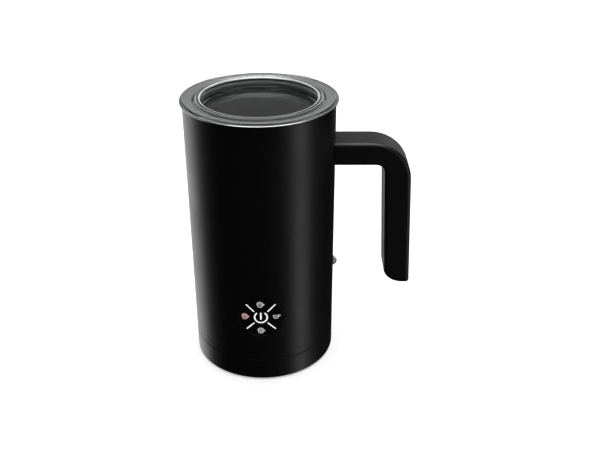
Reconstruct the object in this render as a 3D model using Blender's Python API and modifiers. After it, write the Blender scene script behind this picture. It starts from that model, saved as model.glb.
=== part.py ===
"""Electric milk frother: a black upright jug on a base, with a clear lid, a side handle, a touch panel
and a magnetic drive under a fixed milk pot. Metres, +Z up, the origin on the body's axis at the table.
+X points along the handle and -Y out of the touch panel."""

import math

import bmesh
import bpy
from mathutils import Matrix, Vector

# Fits
GAP = 0.0003  # between pieces that touch
RUN = 0.0004  # round a piece that turns
CUT = 0.002  # how far a cutter runs past a wall

# Facets round a circle
BODY_STEPS = 48
PART_STEPS = 24
PIN_STEPS = 16

# Body
BODY_RADIUS = 0.050
BODY_WALL = 0.0015
RIM_HEIGHT = 0.191  # top of the steel rim, which the lid rests on
SEAM_HEIGHT = 0.017  # between the base cover and the body
EDGE_BREAK = 0.0003

# Foot and base cover
FOOT_THICK = 0.002
FOOT_PROUD = 0.001
FOOT_MARGIN = 0.005  # from the foot's edge to the body's side
COVER_FLOOR = 0.0022
COVER_WALL = 0.002
COVER_EDGE_RADIUS = 0.0008
SPIGOT_WALL = 0.0016
SPIGOT_HEIGHT = 0.005

# Rim, pot and the gasket under the pot's flange
RIM_THICK = 0.0007
RIM_OVERHANG = 0.0018
RIM_FLARE = 0.0008  # from the ledge up to the rim's outer edge
SHELL_LIP = 0.0006  # thickness of the body's wall outside the pot's flange
POT_INSET = 0.0065  # from the body's side to the pot's inner wall
POT_WALL = 0.0008
POT_FLOOR = 0.001
POT_CORNER = 0.006
GASKET_THICK = 0.0007

# Lid
LID_FLANGE = 0.0015
LID_WALL = 0.0016
WELL_INSET = 0.0052  # from the pot's wall to the well's inner wall
WELL_DEPTH = 0.0071
SEAL_HEIGHT = 0.0034
SEAL_DROP = 0.0028  # from the flange down to the seal's top
SEAL_RIB = 0.001

# Whisk and the pin that it turns on
PIN_RADIUS = 0.0015
PIN_HEIGHT = 0.0125
PIN_FOOT_RADIUS = 0.004
PIN_FOOT_THICK = 0.0008
BUSH_WALL = 0.0009
HUB_EDGE = 0.0015  # of hub left outside a magnet or a coil leg
HUB_THICK = 0.0062
MAGNET_RADIUS = 0.003
MAGNET_THICK = 0.003
COIL_RING_RADIUS = 0.0115
COIL_RADIUS = 0.0022
COIL_WIRE_RADIUS = 0.00035
COIL_TURNS = 26
COIL_POINTS_PER_TURN = 8
CORE_WIRE_RADIUS = 0.0006
COIL_LIFT = 0.0055  # from the hub's top to the middle of the coil

# Drive under the pot
SHAFT_RADIUS = 0.0015
SHAFT_LENGTH = 0.023
DISC_THICK = 0.005
DISC_DROP = 0.0025  # from the pot down to the magnet disc
HEATER_THICK = 0.003
HEATER_TUBE_RADIUS = 0.003
HEATER_GAP_DEG = 96.0
HEATER_TAIL = 0.004
CUTOUT_MARGIN = 0.0026  # from the thermal cutout to the drive disc and to the columns
CUTOUT_THICK = 0.005
SENSOR_RADIUS = 0.0022
SENSOR_LENGTH = 0.006
SENSOR_ANGLE_DEG = 28.0
COLUMN_RADIUS = 0.003
COLUMN_COUNT = 3
BRACKET_DROP = 0.015  # from the bracket plate up to the pot
BRACKET_THICK = 0.002
BRACKET_MARGIN = 0.003
MOTOR_RADIUS = 0.0135
MOTOR_LENGTH = 0.026
MOTOR_BOSS_RADIUS = 0.004
END_CAP_THICK = 0.004
TERMINAL_LENGTH = 0.0025
BOARD_CLEAR = 0.0012  # from the board's tallest piece up to the motor's terminals
MOTOR_SCREW_CIRCLE = 0.009

# Screws
SCREW_RADIUS = 0.0014
SCREW_HEAD_RADIUS = 0.003
SCREW_HEAD_THICK = 0.002
SMALL_SCREW_RADIUS = 0.0011
SMALL_HEAD_RADIUS = 0.0023
SMALL_HEAD_THICK = 0.0014

# Base screw pillars and the frame that they fasten to
PILLAR_RADIUS = 0.0045
PILLAR_HEIGHT = 0.005
PILLAR_INSET = 0.0085  # from the body's inner wall to the pillar's middle
PILLAR_ANGLES = (30.0, 150.0, 270.0)
FRAME_WALL = 0.0019

# Power board
BOARD_WIDTH = 0.042
BOARD_DEPTH = 0.040
BOARD_THICK = 0.0016
BOARD_POST_RADIUS = 0.0025
BOARD_POST_HEIGHT = 0.0052
BOARD_TALLEST = 0.0098  # the height of the tallest piece on the board

# Touch panel
PANEL_HEIGHT = 0.053
LENS_RADIUS = 0.0152
LENS_THICK = 0.0012
LENS_SUNK = 0.0001
GUIDE_MARGIN = 0.0022  # from the light guide's edge to the lens's edge
GUIDE_THICK = 0.003
CONTROL_SIZE = (0.030, 0.0016, 0.0314)
CARRIER_BAR = 0.0025
CARRIER_DEPTH = 0.0024

# Handle
HANDLE_WIDTH = 0.0246
ARM_DROP = 0.0278  # from the rim to the top of the arm
ARM_THICK = 0.0158
GRIP_REACH = 0.032  # from the body's side to the grip, at the arm
GRIP_THICK = 0.0182
GRIP_LENGTH = 0.1069  # from the arm's top to the grip's end
GRIP_SPLAY = 0.043  # slope of the grip away from the body
OUTER_CORNER = 0.027
INNER_CORNER = 0.0045
END_OUTER_CORNER = 0.0035
END_CUT_ACROSS = 0.0076  # the grip's inner end is cut back, and both corners of the cut are rounded
END_CUT_UP = 0.0059
END_LOW_CORNER = 0.014
END_HIGH_CORNER = 0.008
HANDLE_EDGE = 0.0032
POCKET_SIDE = 0.0041  # of handle left on each side of the pocket
POCKET_DEPTH = 0.0085
INLAY_THICK = 0.002
HANDLE_SCREW_SIDE = 0.0048  # from the handle's side to its screws
HANDLE_SCREW_REACH = 0.0115

# Mains lead gland, behind the handle
GLAND_ANGLE_DEG = 33.8
GLAND_HEIGHT = 0.0558
GLAND_NECK_RADIUS = 0.0031
GLAND_FLANGE_RADIUS = 0.0052
GLAND_ROOT_RADIUS = 0.0038
GLAND_TIP_RADIUS = 0.0031
GLAND_BORE_RADIUS = 0.002
GLAND_RIB_DEPTH = 0.00055
GLAND_RIBS = 6
GLAND_DROP_DEG = 48.0
GLAND_ELBOW = 0.0056
GLAND_TAIL = 0.0108

# Inner leads
LEAD_RADIUS = 0.0009
LEAD_HOLE_RADIUS = 0.003
LEAD_REACH = 0.010  # from the motor's side to the heater's leads

# Places worked out from the sizes above, from the foot up
COVER_RECESS = FOOT_THICK + GAP
COVER_INSIDE = COVER_RECESS + COVER_FLOOR
BOARD_BOTTOM = COVER_INSIDE + BOARD_POST_HEIGHT + GAP
BOARD_TOP = BOARD_BOTTOM + BOARD_THICK
END_CAP_BOTTOM = BOARD_TOP + GAP + BOARD_TALLEST + BOARD_CLEAR + TERMINAL_LENGTH
MOTOR_BOTTOM = END_CAP_BOTTOM + END_CAP_THICK + GAP
MOTOR_TOP = MOTOR_BOTTOM + MOTOR_LENGTH
BRACKET_BOTTOM = MOTOR_TOP + GAP
BRACKET_TOP = BRACKET_BOTTOM + BRACKET_THICK
POT_UNDERSIDE = BRACKET_TOP + BRACKET_DROP
POT_FLOOR_HEIGHT = POT_UNDERSIDE + POT_FLOOR
SHELL_INNER = BODY_RADIUS - BODY_WALL
RIM_RADIUS = BODY_RADIUS + RIM_OVERHANG
POT_RADIUS = BODY_RADIUS - POT_INSET
POT_OUTER = POT_RADIUS + POT_WALL
POT_FLAT = POT_RADIUS - POT_CORNER
RIM_LEDGE = RIM_HEIGHT - RIM_FLARE
FLANGE_TOP = RIM_LEDGE - RIM_THICK - GAP
FLANGE_BOTTOM = FLANGE_TOP - POT_WALL
GASKET_TOP = FLANGE_BOTTOM - GAP
SHELL_SEAT = GASKET_TOP - GASKET_THICK - GAP
SHELL_TOP = FLANGE_TOP
SHELL_RECESS = BODY_RADIUS - SHELL_LIP
SHELL_BOTTOM = SEAM_HEIGHT + EDGE_BREAK / 2
COVER_TOP = SEAM_HEIGHT - EDGE_BREAK / 2
SPIGOT_RADIUS = SHELL_INNER - GAP
SPIGOT_TOP = SEAM_HEIGHT + SPIGOT_HEIGHT
PILLAR_CIRCLE = SHELL_INNER - PILLAR_INSET
PILLAR_TOP = COVER_INSIDE + PILLAR_HEIGHT
FRAME_TOP = PANEL_HEIGHT - CONTROL_SIZE[2] / 2 - CARRIER_BAR / 2 - 2 * GAP
SCREW_HOLE = SCREW_RADIUS + GAP
SMALL_SCREW_HOLE = SMALL_SCREW_RADIUS + GAP
LID_BOTTOM = RIM_LEDGE + GAP
LID_TOP = LID_BOTTOM + LID_FLANGE
LID_RADIUS = BODY_RADIUS - GAP
WELL_RADIUS = POT_RADIUS - WELL_INSET
WELL_OUTER = WELL_RADIUS + LID_WALL
WELL_FLOOR = LID_TOP - WELL_DEPTH
SEAL_TOP = LID_BOTTOM - SEAL_DROP
SEAL_BOTTOM = SEAL_TOP - SEAL_HEIGHT
PIN_FOOT_TOP = POT_FLOOR_HEIGHT + GAP + PIN_FOOT_THICK
PIN_TOP = POT_FLOOR_HEIGHT + GAP + PIN_HEIGHT
BUSH_BOTTOM = PIN_FOOT_TOP + GAP
BUSH_BORE = PIN_RADIUS + GAP
BUSH_RADIUS = BUSH_BORE + BUSH_WALL
HUB_BOTTOM = BUSH_BOTTOM + GAP
HUB_TOP = HUB_BOTTOM + HUB_THICK
COIL_HEIGHT = HUB_TOP + COIL_LIFT
HUB_RADIUS = COIL_RING_RADIUS + HUB_EDGE
MAGNET_CIRCLE = HUB_RADIUS - HUB_EDGE - MAGNET_RADIUS
COLUMN_CIRCLE = POT_FLAT - COLUMN_RADIUS - EDGE_BREAK
BRACKET_RADIUS = COLUMN_CIRCLE + COLUMN_RADIUS + BRACKET_MARGIN
GUIDE_RADIUS = LENS_RADIUS - GUIDE_MARGIN
POCKET_WIDTH = HANDLE_WIDTH - 2 * POCKET_SIDE
HANDLE_SCREW_SPREAD = HANDLE_WIDTH / 2 - HANDLE_SCREW_SIDE
HEATER_TOP = POT_UNDERSIDE - GAP
HEATER_BOTTOM = HEATER_TOP - HEATER_THICK
DISC_TOP = POT_UNDERSIDE - DISC_DROP
DISC_BOTTOM = DISC_TOP - DISC_THICK
HEATER_INNER = HUB_RADIUS + 4 * RUN
HEATER_OUTER = COLUMN_CIRCLE - COLUMN_RADIUS - GAP
HEATER_MIDDLE = (HEATER_INNER + HEATER_OUTER) / 2
CUTOUT_RADIUS = (HEATER_OUTER - HEATER_INNER) / 2 - CUTOUT_MARGIN
ARM_TOP = RIM_HEIGHT - ARM_DROP
ARM_BOTTOM = ARM_TOP - ARM_THICK
GRIP_BOTTOM = ARM_TOP - GRIP_LENGTH


def empty_scene():
    for old in list(bpy.data.objects):
        bpy.data.objects.remove(old, do_unlink=True)


def new_collection(name):
    made = bpy.data.collections.new(name)
    bpy.context.scene.collection.children.link(made)
    return made


empty_scene()
FROTHER = new_collection("milk_frother")
CUTTERS = new_collection("cutters")


def finish(name, colour, roughness, metallic=0.0, alpha=1.0):
    """A plain material with one Principled shader."""
    made = bpy.data.materials.new(name)
    made.use_nodes = True
    shader = made.node_tree.nodes["Principled BSDF"]
    shader.inputs["Base Color"].default_value = (*colour, 1.0)
    shader.inputs["Roughness"].default_value = roughness
    shader.inputs["Metallic"].default_value = metallic
    shader.inputs["Alpha"].default_value = alpha
    return made


FINISHES = {
    "body_black": finish("body_black", (0.012, 0.012, 0.012), 0.38),
    "plastic_black": finish("plastic_black", (0.014, 0.014, 0.014), 0.45),
    "lens_black": finish("lens_black", (0.006, 0.006, 0.006), 0.12),
    "rim_steel": finish("rim_steel", (0.62, 0.62, 0.61), 0.22, 1.0),
    "plain_steel": finish("plain_steel", (0.55, 0.55, 0.56), 0.3, 1.0),
    "pot_coating": finish("pot_coating", (0.055, 0.056, 0.056), 0.5),
    "lid_clear": finish("lid_clear", (0.85, 0.87, 0.86), 0.06, 0.0, 0.3),
    "silicone_clear": finish("silicone_clear", (0.78, 0.78, 0.77), 0.4, 0.0, 0.6),
    "rubber_black": finish("rubber_black", (0.02, 0.02, 0.02), 0.75),
    "rubber_grey": finish("rubber_grey", (0.06, 0.06, 0.065), 0.6),
    "frame_grey": finish("frame_grey", (0.32, 0.32, 0.33), 0.55),
    "icon_white": finish("icon_white", (0.85, 0.85, 0.85), 0.4),
    "board_green": finish("board_green", (0.03, 0.14, 0.05), 0.5),
    "heater_aluminium": finish("heater_aluminium", (0.6, 0.6, 0.6), 0.45, 1.0),
    "magnet_nickel": finish("magnet_nickel", (0.5, 0.49, 0.47), 0.25, 1.0),
    "lead_red": finish("lead_red", (0.35, 0.02, 0.02), 0.5),
}


def add(name, mesh, slot, smooth_deg=40.0):
    """Links a mesh as a named piece with its finish, shaded smooth."""
    made = bpy.data.objects.new(name, mesh)
    FROTHER.objects.link(made)
    mesh.materials.append(FINISHES[slot])
    mesh.shade_smooth()
    mesh.set_sharp_from_angle(angle=math.radians(smooth_deg))
    return made


def helper(piece):
    """Turns a piece into a hidden cutter or joiner."""
    FROTHER.objects.unlink(piece)
    CUTTERS.objects.link(piece)
    piece.hide_render = True
    piece.display_type = "WIRE"
    return piece


def boolean(piece, other, operation):
    modifier = piece.modifiers.new(operation.lower() + "_" + other.name, "BOOLEAN")
    modifier.operation = operation
    modifier.solver = "EXACT"
    modifier.object = helper(other)
    return piece


def cut(piece, *others):
    for other in others:
        boolean(piece, other, "DIFFERENCE")
    return piece


def join(piece, *others):
    for other in others:
        boolean(piece, other, "UNION")
    return piece


def hang(name, *pieces):
    """Parents pieces that move together to an empty on the axis of their joint."""
    empty = bpy.data.objects.new(name, None)
    FROTHER.objects.link(empty)
    for piece in pieces:
        bpy.data.objects[piece].parent = empty


def polar(radius, degrees, height=0.0):
    angle = math.radians(degrees)
    return Vector((radius * math.cos(angle), radius * math.sin(angle), height))


def chord(radius, half_width):
    """How far from the axis a circle still is at this distance to the side."""
    return math.sqrt(radius**2 - half_width**2)


def arc(centre, radius, start_deg, end_deg, steps):
    """Points (r, z) on an arc, ends included."""
    points = []
    for i in range(steps + 1):
        angle = math.radians(start_deg + (end_deg - start_deg) * i / steps)
        points.append((centre[0] + radius * math.cos(angle), centre[1] + radius * math.sin(angle)))
    return points


def turned(name, profile, slot, steps=BODY_STEPS):
    """A turned piece. The profile is a list of (radius, height): a loop, or a line from axis to axis."""
    on_axis = min(radius for radius, _ in profile) < GAP / 10
    around = zip(profile, profile[1:] + profile[:1])
    if sum(a[0] * b[1] - b[0] * a[1] for a, b in around) > 0:
        profile = profile[::-1]
    if on_axis:
        while profile[0][0] > 0 or profile[-1][0] > 0:
            profile = profile[1:] + profile[:1]
    count = len(profile)
    edges = [(i, i + 1) for i in range(count - 1)]
    if not on_axis:
        edges.append((count - 1, 0))
    mesh = bpy.data.meshes.new(name)
    mesh.from_pydata([(radius, 0.0, height) for radius, height in profile], edges, [])
    made = add(name, mesh, slot)
    screw = made.modifiers.new("turn", "SCREW")
    screw.steps = steps
    screw.render_steps = steps
    screw.use_merge_vertices = True
    screw.merge_threshold = 0.00001
    screw.use_smooth_shade = True
    return made


def cylinder(name, radius, start, end, slot, steps=PIN_STEPS):
    """A round bar between two points."""
    start, end = Vector(start), Vector(end)
    mesh = bpy.data.meshes.new(name)
    shape = bmesh.new()
    along = end - start
    turn = along.to_track_quat("Z", "Y").to_matrix().to_4x4()
    place = Matrix.Translation((start + end) / 2) @ turn
    bmesh.ops.create_cone(
        shape, cap_ends=True, segments=steps, radius1=radius, radius2=radius, depth=along.length, matrix=place
    )
    shape.to_mesh(mesh)
    shape.free()
    return add(name, mesh, slot)


def box(name, low, high, slot, turn_deg=0.0):
    """A box between two corners, turned about the Z axis through the origin."""
    low, high = Vector(low), Vector(high)
    mesh = bpy.data.meshes.new(name)
    shape = bmesh.new()
    bmesh.ops.create_cube(shape, size=1.0)
    bmesh.ops.scale(shape, vec=high - low, verts=shape.verts)
    bmesh.ops.translate(shape, vec=(low + high) / 2, verts=shape.verts)
    turn = Matrix.Rotation(math.radians(turn_deg), 3, "Z")
    bmesh.ops.rotate(shape, cent=(0, 0, 0), matrix=turn, verts=shape.verts)
    shape.to_mesh(mesh)
    shape.free()
    return add(name, mesh, slot, 30.0)


def tube(name, points, radius, slot, resolution=1, scales=None, closed=False):
    """A round wire or hose along points; scales are the radii at the points, as shares of radius."""
    curve = bpy.data.curves.new(name, "CURVE")
    curve.dimensions = "3D"
    curve.bevel_depth = radius
    curve.bevel_resolution = resolution
    curve.use_fill_caps = not closed
    spline = curve.splines.new("POLY")
    spline.points.add(len(points) - 1)
    for i, point in enumerate(points):
        spline.points[i].co = (*point, 1.0)
        spline.points[i].radius = scales[i] if scales else 1.0
    spline.use_cyclic_u = closed
    return as_mesh(name, curve, slot)


def outline_solid(name, outline, half_width, slot):
    """A flat outline of (x, z) points in the XZ plane, as thick as two half widths along Y."""
    curve = bpy.data.curves.new(name, "CURVE")
    curve.dimensions = "2D"
    curve.fill_mode = "BOTH"
    curve.extrude = half_width
    spline = curve.splines.new("POLY")
    spline.points.add(len(outline) - 1)
    for i, (x, z) in enumerate(outline):
        spline.points[i].co = (x, z, 0.0, 1.0)
    spline.use_cyclic_u = True
    made = as_mesh(name, curve, slot, Matrix.Rotation(math.radians(90), 4, "X"))
    shape = bmesh.new()
    shape.from_mesh(made.data)
    bmesh.ops.dissolve_limit(shape, angle_limit=math.radians(0.5), verts=shape.verts, edges=shape.edges)
    shape.to_mesh(made.data)
    shape.free()
    return made


def as_mesh(name, curve, slot, place=None):
    """The mesh of a curve, with its caps welded on."""
    drawn = bpy.data.objects.new(name + "_curve", curve)
    FROTHER.objects.link(drawn)
    bpy.context.view_layer.update()
    graph = bpy.context.evaluated_depsgraph_get()
    mesh = bpy.data.meshes.new_from_object(drawn.evaluated_get(graph))
    bpy.data.objects.remove(drawn)
    if place:
        mesh.transform(place)
    shape = bmesh.new()
    shape.from_mesh(mesh)
    bmesh.ops.remove_doubles(shape, verts=shape.verts, dist=0.000005)
    bmesh.ops.recalc_face_normals(shape, faces=shape.faces)
    shape.to_mesh(mesh)
    shape.free()
    mesh.name = name
    mesh.materials.clear()
    return add(name, mesh, slot)


def rounded_outline(corners, steps_per_quarter=5):
    """Points round a polygon of (x, z, corner radius), each corner an arc."""
    points = []
    count = len(corners)
    for i, (x, z, radius) in enumerate(corners):
        here = Vector((x, z))
        before = (Vector(corners[i - 1][:2]) - here).normalized()
        after = (Vector(corners[(i + 1) % count][:2]) - here).normalized()
        if radius == 0:
            points.append(here)
            continue
        half = math.acos(max(-1.0, min(1.0, before.dot(after)))) / 2
        centre = here + (before + after).normalized() * (radius / math.sin(half))
        first = here + before * (radius / math.tan(half)) - centre
        last = here + after * (radius / math.tan(half)) - centre
        sweep = first.angle_signed(last)
        steps = max(2, round(steps_per_quarter * abs(sweep) / (math.pi / 2)))
        for k in range(steps + 1):
            turn = Matrix.Rotation(-sweep * k / steps, 2)
            points.append(centre + turn @ first)
    return [(point.x, point.y) for point in points]


def smooth_path(route, per_span):
    """Points on a smooth curve through the route's points (Catmull-Rom)."""
    route = [Vector(point) for point in route]
    ends = [2 * route[0] - route[1], *route, 2 * route[-1] - route[-2]]
    points = []
    for a, b, c, d in zip(ends, ends[1:], ends[2:], ends[3:]):
        for k in range(per_span):
            t = k / per_span
            points.append(
                0.5 * (2 * b + (c - a) * t + (2 * a - 5 * b + 4 * c - d) * t**2 + (3 * b - a - 3 * c + d) * t**3)
            )
    return [*points, route[-1]]


def screw(name, seat, direction, length, radius=SCREW_RADIUS, head_radius=SCREW_HEAD_RADIUS,
          head_thick=SCREW_HEAD_THICK):
    """A pan-head screw. Its head sits behind the seat point and its shank runs along the direction."""
    profile = [
        (0.0, -head_thick),
        (head_radius * 0.7, -head_thick),
        (head_radius, -head_thick * 0.5),
        (head_radius, 0.0),
        (radius, 0.0),
        (radius, length - radius),
        (0.0, length),
    ]
    made = turned(name, profile, "plain_steel", PIN_STEPS)
    made.rotation_mode = "QUATERNION"
    made.rotation_quaternion = Vector(direction).to_track_quat("Z", "Y")
    made.location = seat
    return made


# ---- Foot, base cover and frame ----


def build_foot_pad():
    radius = BODY_RADIUS - FOOT_MARGIN
    profile = [
        (0.0, FOOT_THICK),
        (radius, FOOT_THICK),
        (radius, EDGE_BREAK),
        (radius - EDGE_BREAK, 0.0),
        (0.0, 0.0),
    ]
    turned("foot_pad", profile, "rubber_black")


def build_base_cover():
    recess_radius = BODY_RADIUS - FOOT_MARGIN + GAP
    edge = (BODY_RADIUS - COVER_EDGE_RADIUS, FOOT_PROUD + COVER_EDGE_RADIUS)
    profile = [
        (0.0, COVER_INSIDE),
        (BODY_RADIUS - COVER_WALL - COVER_EDGE_RADIUS / 2, COVER_INSIDE),
        (SPIGOT_RADIUS - SPIGOT_WALL, COVER_INSIDE + COVER_EDGE_RADIUS / 2),
        (SPIGOT_RADIUS - SPIGOT_WALL, SPIGOT_TOP),
        (SPIGOT_RADIUS, SPIGOT_TOP),
        (SPIGOT_RADIUS, COVER_TOP),
        (BODY_RADIUS - EDGE_BREAK, COVER_TOP),
        (BODY_RADIUS, COVER_TOP - EDGE_BREAK),
        *arc(edge, COVER_EDGE_RADIUS, 0, -90, 4),
        (recess_radius, FOOT_PROUD),
        (recess_radius, COVER_RECESS),
        (0.0, COVER_RECESS),
    ]
    cover = turned("base_cover", profile, "body_black")
    for i, angle in enumerate(PILLAR_ANGLES):
        foot = polar(PILLAR_CIRCLE, angle, COVER_INSIDE - COVER_FLOOR / 2)
        top = polar(PILLAR_CIRCLE, angle, PILLAR_TOP)
        below = polar(PILLAR_CIRCLE, angle, 0.0)
        seat = polar(PILLAR_CIRCLE, angle, PILLAR_TOP - COVER_FLOOR)
        above = polar(PILLAR_CIRCLE, angle, PILLAR_TOP + CUT)
        join(cover, cylinder(f"pillar_{i}", PILLAR_RADIUS, foot, top, "body_black"))
        cut(
            cover,
            cylinder(f"pillar_counterbore_{i}", SCREW_HEAD_RADIUS + GAP, below, seat, "body_black"),
            cylinder(f"pillar_hole_{i}", SCREW_HOLE, below, above, "body_black"),
        )
    for i, (x, y) in enumerate(((-1, -1), (1, -1), (-1, 1), (1, 1))):
        across, back = BOARD_WIDTH / 2 - 2 * BOARD_POST_RADIUS, BOARD_DEPTH / 2 - 2 * BOARD_POST_RADIUS
        spot = Vector((x * across, y * back, 0))
        foot = spot + Vector((0, 0, COVER_INSIDE - COVER_FLOOR / 2))
        top = spot + Vector((0, 0, COVER_INSIDE + BOARD_POST_HEIGHT))
        join(cover, cylinder(f"board_post_{i}", BOARD_POST_RADIUS, foot, top, "body_black", 8))


def build_base_screws():
    for i, angle in enumerate(PILLAR_ANGLES):
        seat = polar(PILLAR_CIRCLE, angle, PILLAR_TOP - COVER_FLOOR - GAP)
        screw(f"base_screw_{i + 1}", seat, (0, 0, 1), 0.022)


def build_inner_frame():
    outer = SHELL_INNER - GAP
    bottom = SPIGOT_TOP + GAP
    inner = outer - FRAME_WALL
    profile = [(outer, FRAME_TOP), (outer, bottom), (inner, bottom), (inner, FRAME_TOP)]
    frame = turned("inner_frame", profile, "frame_grey")
    for i, angle in enumerate(PILLAR_ANGLES):
        foot = polar(PILLAR_CIRCLE, angle, PILLAR_TOP + GAP)
        top = polar(PILLAR_CIRCLE, angle, FRAME_TOP - EDGE_BREAK)
        half = PILLAR_RADIUS * 0.6
        low = (PILLAR_CIRCLE, -half, bottom + EDGE_BREAK)
        high = (outer - FRAME_WALL / 2, half, FRAME_TOP - 2 * EDGE_BREAK)
        join(
            frame,
            cylinder(f"frame_boss_{i}", PILLAR_RADIUS, foot, top, "frame_grey"),
            box(f"frame_web_{i}", low, high, "frame_grey", angle),
        )
    for i, angle in enumerate(PILLAR_ANGLES):
        below = polar(PILLAR_CIRCLE, angle, 0.0)
        above = polar(PILLAR_CIRCLE, angle, FRAME_TOP + CUT)
        cut(frame, cylinder(f"frame_hole_{i}", SCREW_HOLE, below, above, "frame_grey"))


# ---- Body, rim, pot and gasket ----


def build_housing_shell():
    profile = [
        (BODY_RADIUS, SHELL_TOP),
        (BODY_RADIUS, SHELL_BOTTOM + EDGE_BREAK),
        (BODY_RADIUS - EDGE_BREAK, SHELL_BOTTOM),
        (SHELL_INNER, SHELL_BOTTOM),
        (SHELL_INNER, SHELL_SEAT),
        (SHELL_RECESS, SHELL_SEAT),
        (SHELL_RECESS, SHELL_TOP),
    ]
    shell = turned("housing_shell", profile, "body_black")
    inside, outside = SHELL_INNER - 2 * CUT, BODY_RADIUS + CUT
    cut(
        shell,
        cylinder(
            "panel_window",
            LENS_RADIUS + GAP,
            (0, -chord(SHELL_INNER, LENS_RADIUS) + 2 * CUT, PANEL_HEIGHT),
            (0, -outside, PANEL_HEIGHT),
            "body_black",
            BODY_STEPS,
        ),
        cylinder(
            "gland_hole",
            GLAND_NECK_RADIUS + GAP,
            polar(inside, GLAND_ANGLE_DEG, GLAND_HEIGHT),
            polar(outside, GLAND_ANGLE_DEG, GLAND_HEIGHT),
            "body_black",
        ),
    )
    for i, side in enumerate((-1, 1)):
        y = side * HANDLE_SCREW_SPREAD
        z = (ARM_TOP + ARM_BOTTOM) / 2
        cut(shell, cylinder(f"handle_hole_{i}", SCREW_HOLE, (inside, y, z), (outside, y, z), "body_black"))


def build_rim_ring():
    """A flat steel ledge for the lid, whose outer edge flares up and out over the body."""
    inner = POT_RADIUS
    low = RIM_LEDGE - RIM_THICK
    profile = [
        (inner, RIM_LEDGE - EDGE_BREAK / 2),
        (inner + EDGE_BREAK / 2, RIM_LEDGE),
        (BODY_RADIUS, RIM_LEDGE),
        (RIM_RADIUS - EDGE_BREAK, RIM_HEIGHT),
        (RIM_RADIUS, RIM_HEIGHT - EDGE_BREAK),
        (RIM_RADIUS - EDGE_BREAK / 2, RIM_HEIGHT - 2 * EDGE_BREAK),
        (BODY_RADIUS + EDGE_BREAK, low),
        (inner, low),
    ]
    turned("rim_ring", profile, "rim_steel")


def build_milk_pot():
    """A deep drawn pot with a flat flange, and a corner of the same centre inside and out."""
    corner = (POT_FLAT, POT_FLOOR_HEIGHT + POT_CORNER)
    flange_radius = SHELL_RECESS - GAP
    profile = [
        (0.0, POT_FLOOR_HEIGHT),
        *arc(corner, POT_CORNER, -90, 0, 4),
        (POT_RADIUS, FLANGE_TOP),
        (flange_radius, FLANGE_TOP),
        (flange_radius, FLANGE_BOTTOM),
        (POT_OUTER, FLANGE_BOTTOM),
        (POT_OUTER, POT_FLOOR_HEIGHT + POT_CORNER),
        *arc(corner, POT_CORNER + POT_FLOOR, -30, -90, 2),
        (0.0, POT_UNDERSIDE),
    ]
    turned("milk_pot", profile, "pot_coating")


def build_pot_gasket():
    inner, outer = POT_OUTER + 2 * GAP, SHELL_RECESS - GAP
    low = GASKET_TOP - GASKET_THICK
    profile = [(outer, GASKET_TOP), (outer, low), (inner, low), (inner, GASKET_TOP)]
    turned("pot_gasket", profile, "silicone_clear")


# ---- Lid ----


def build_lid():
    """A clear flange that rests on the rim, and a finger well that drops into the pot."""
    edge = EDGE_BREAK
    rib_top = SEAL_TOP + GAP
    rib_low = SEAL_BOTTOM - GAP
    profile = [
        (0.0, WELL_FLOOR),
        (WELL_RADIUS - 4 * edge, WELL_FLOOR),
        (WELL_RADIUS, WELL_FLOOR + 4 * edge),
        (WELL_RADIUS, LID_TOP - edge),
        (WELL_RADIUS + edge, LID_TOP),
        (LID_RADIUS - 2 * edge, LID_TOP),
        (LID_RADIUS, LID_TOP - 2 * edge),
        (LID_RADIUS, LID_BOTTOM),
        (WELL_OUTER, LID_BOTTOM),
        (WELL_OUTER, rib_top + SEAL_RIB),
        (WELL_OUTER + SEAL_RIB, rib_top + SEAL_RIB / 2),
        (WELL_OUTER + SEAL_RIB, rib_top),
        (WELL_OUTER, rib_top),
        (WELL_OUTER, rib_low),
        (WELL_OUTER + SEAL_RIB, rib_low),
        (WELL_OUTER + SEAL_RIB, rib_low - SEAL_RIB / 2),
        (WELL_OUTER - 4 * edge, WELL_FLOOR - LID_WALL),
        (0.0, WELL_FLOOR - LID_WALL),
    ]
    turned("lid", profile, "lid_clear")


def build_lid_seal():
    """A silicone ring with two soft lips that touch the pot's wall."""
    inner = WELL_OUTER + GAP
    root = inner + SEAL_RIB
    lips = POT_RADIUS - GAP
    step = SEAL_HEIGHT / 4
    profile = [
        (inner, SEAL_TOP),
        (root, SEAL_TOP),
        (lips, SEAL_TOP - step * 0.6),
        (root, SEAL_TOP - step * 1.6),
        (root, SEAL_TOP - step * 2.2),
        (lips, SEAL_TOP - step * 3.2),
        (root, SEAL_BOTTOM),
        (inner, SEAL_BOTTOM),
    ]
    turned("lid_seal", profile, "silicone_clear")


# ---- Whisk ----


def build_whisk_pin():
    floor = POT_FLOOR_HEIGHT + GAP
    profile = [
        (0.0, PIN_TOP),
        (PIN_RADIUS * 0.6, PIN_TOP - PIN_RADIUS * 0.2),
        (PIN_RADIUS, PIN_TOP - PIN_RADIUS),
        (PIN_RADIUS, PIN_FOOT_TOP),
        (PIN_FOOT_RADIUS, PIN_FOOT_TOP),
        (PIN_FOOT_RADIUS, floor),
        (0.0, floor),
    ]
    turned("whisk_pin", profile, "plain_steel", PIN_STEPS)


def build_whisk_bush():
    top = HUB_TOP + GAP
    profile = [(BUSH_RADIUS, top), (BUSH_RADIUS, BUSH_BOTTOM), (BUSH_BORE, BUSH_BOTTOM), (BUSH_BORE, top)]
    turned("whisk_bush", profile, "plain_steel", PIN_STEPS)


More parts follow.
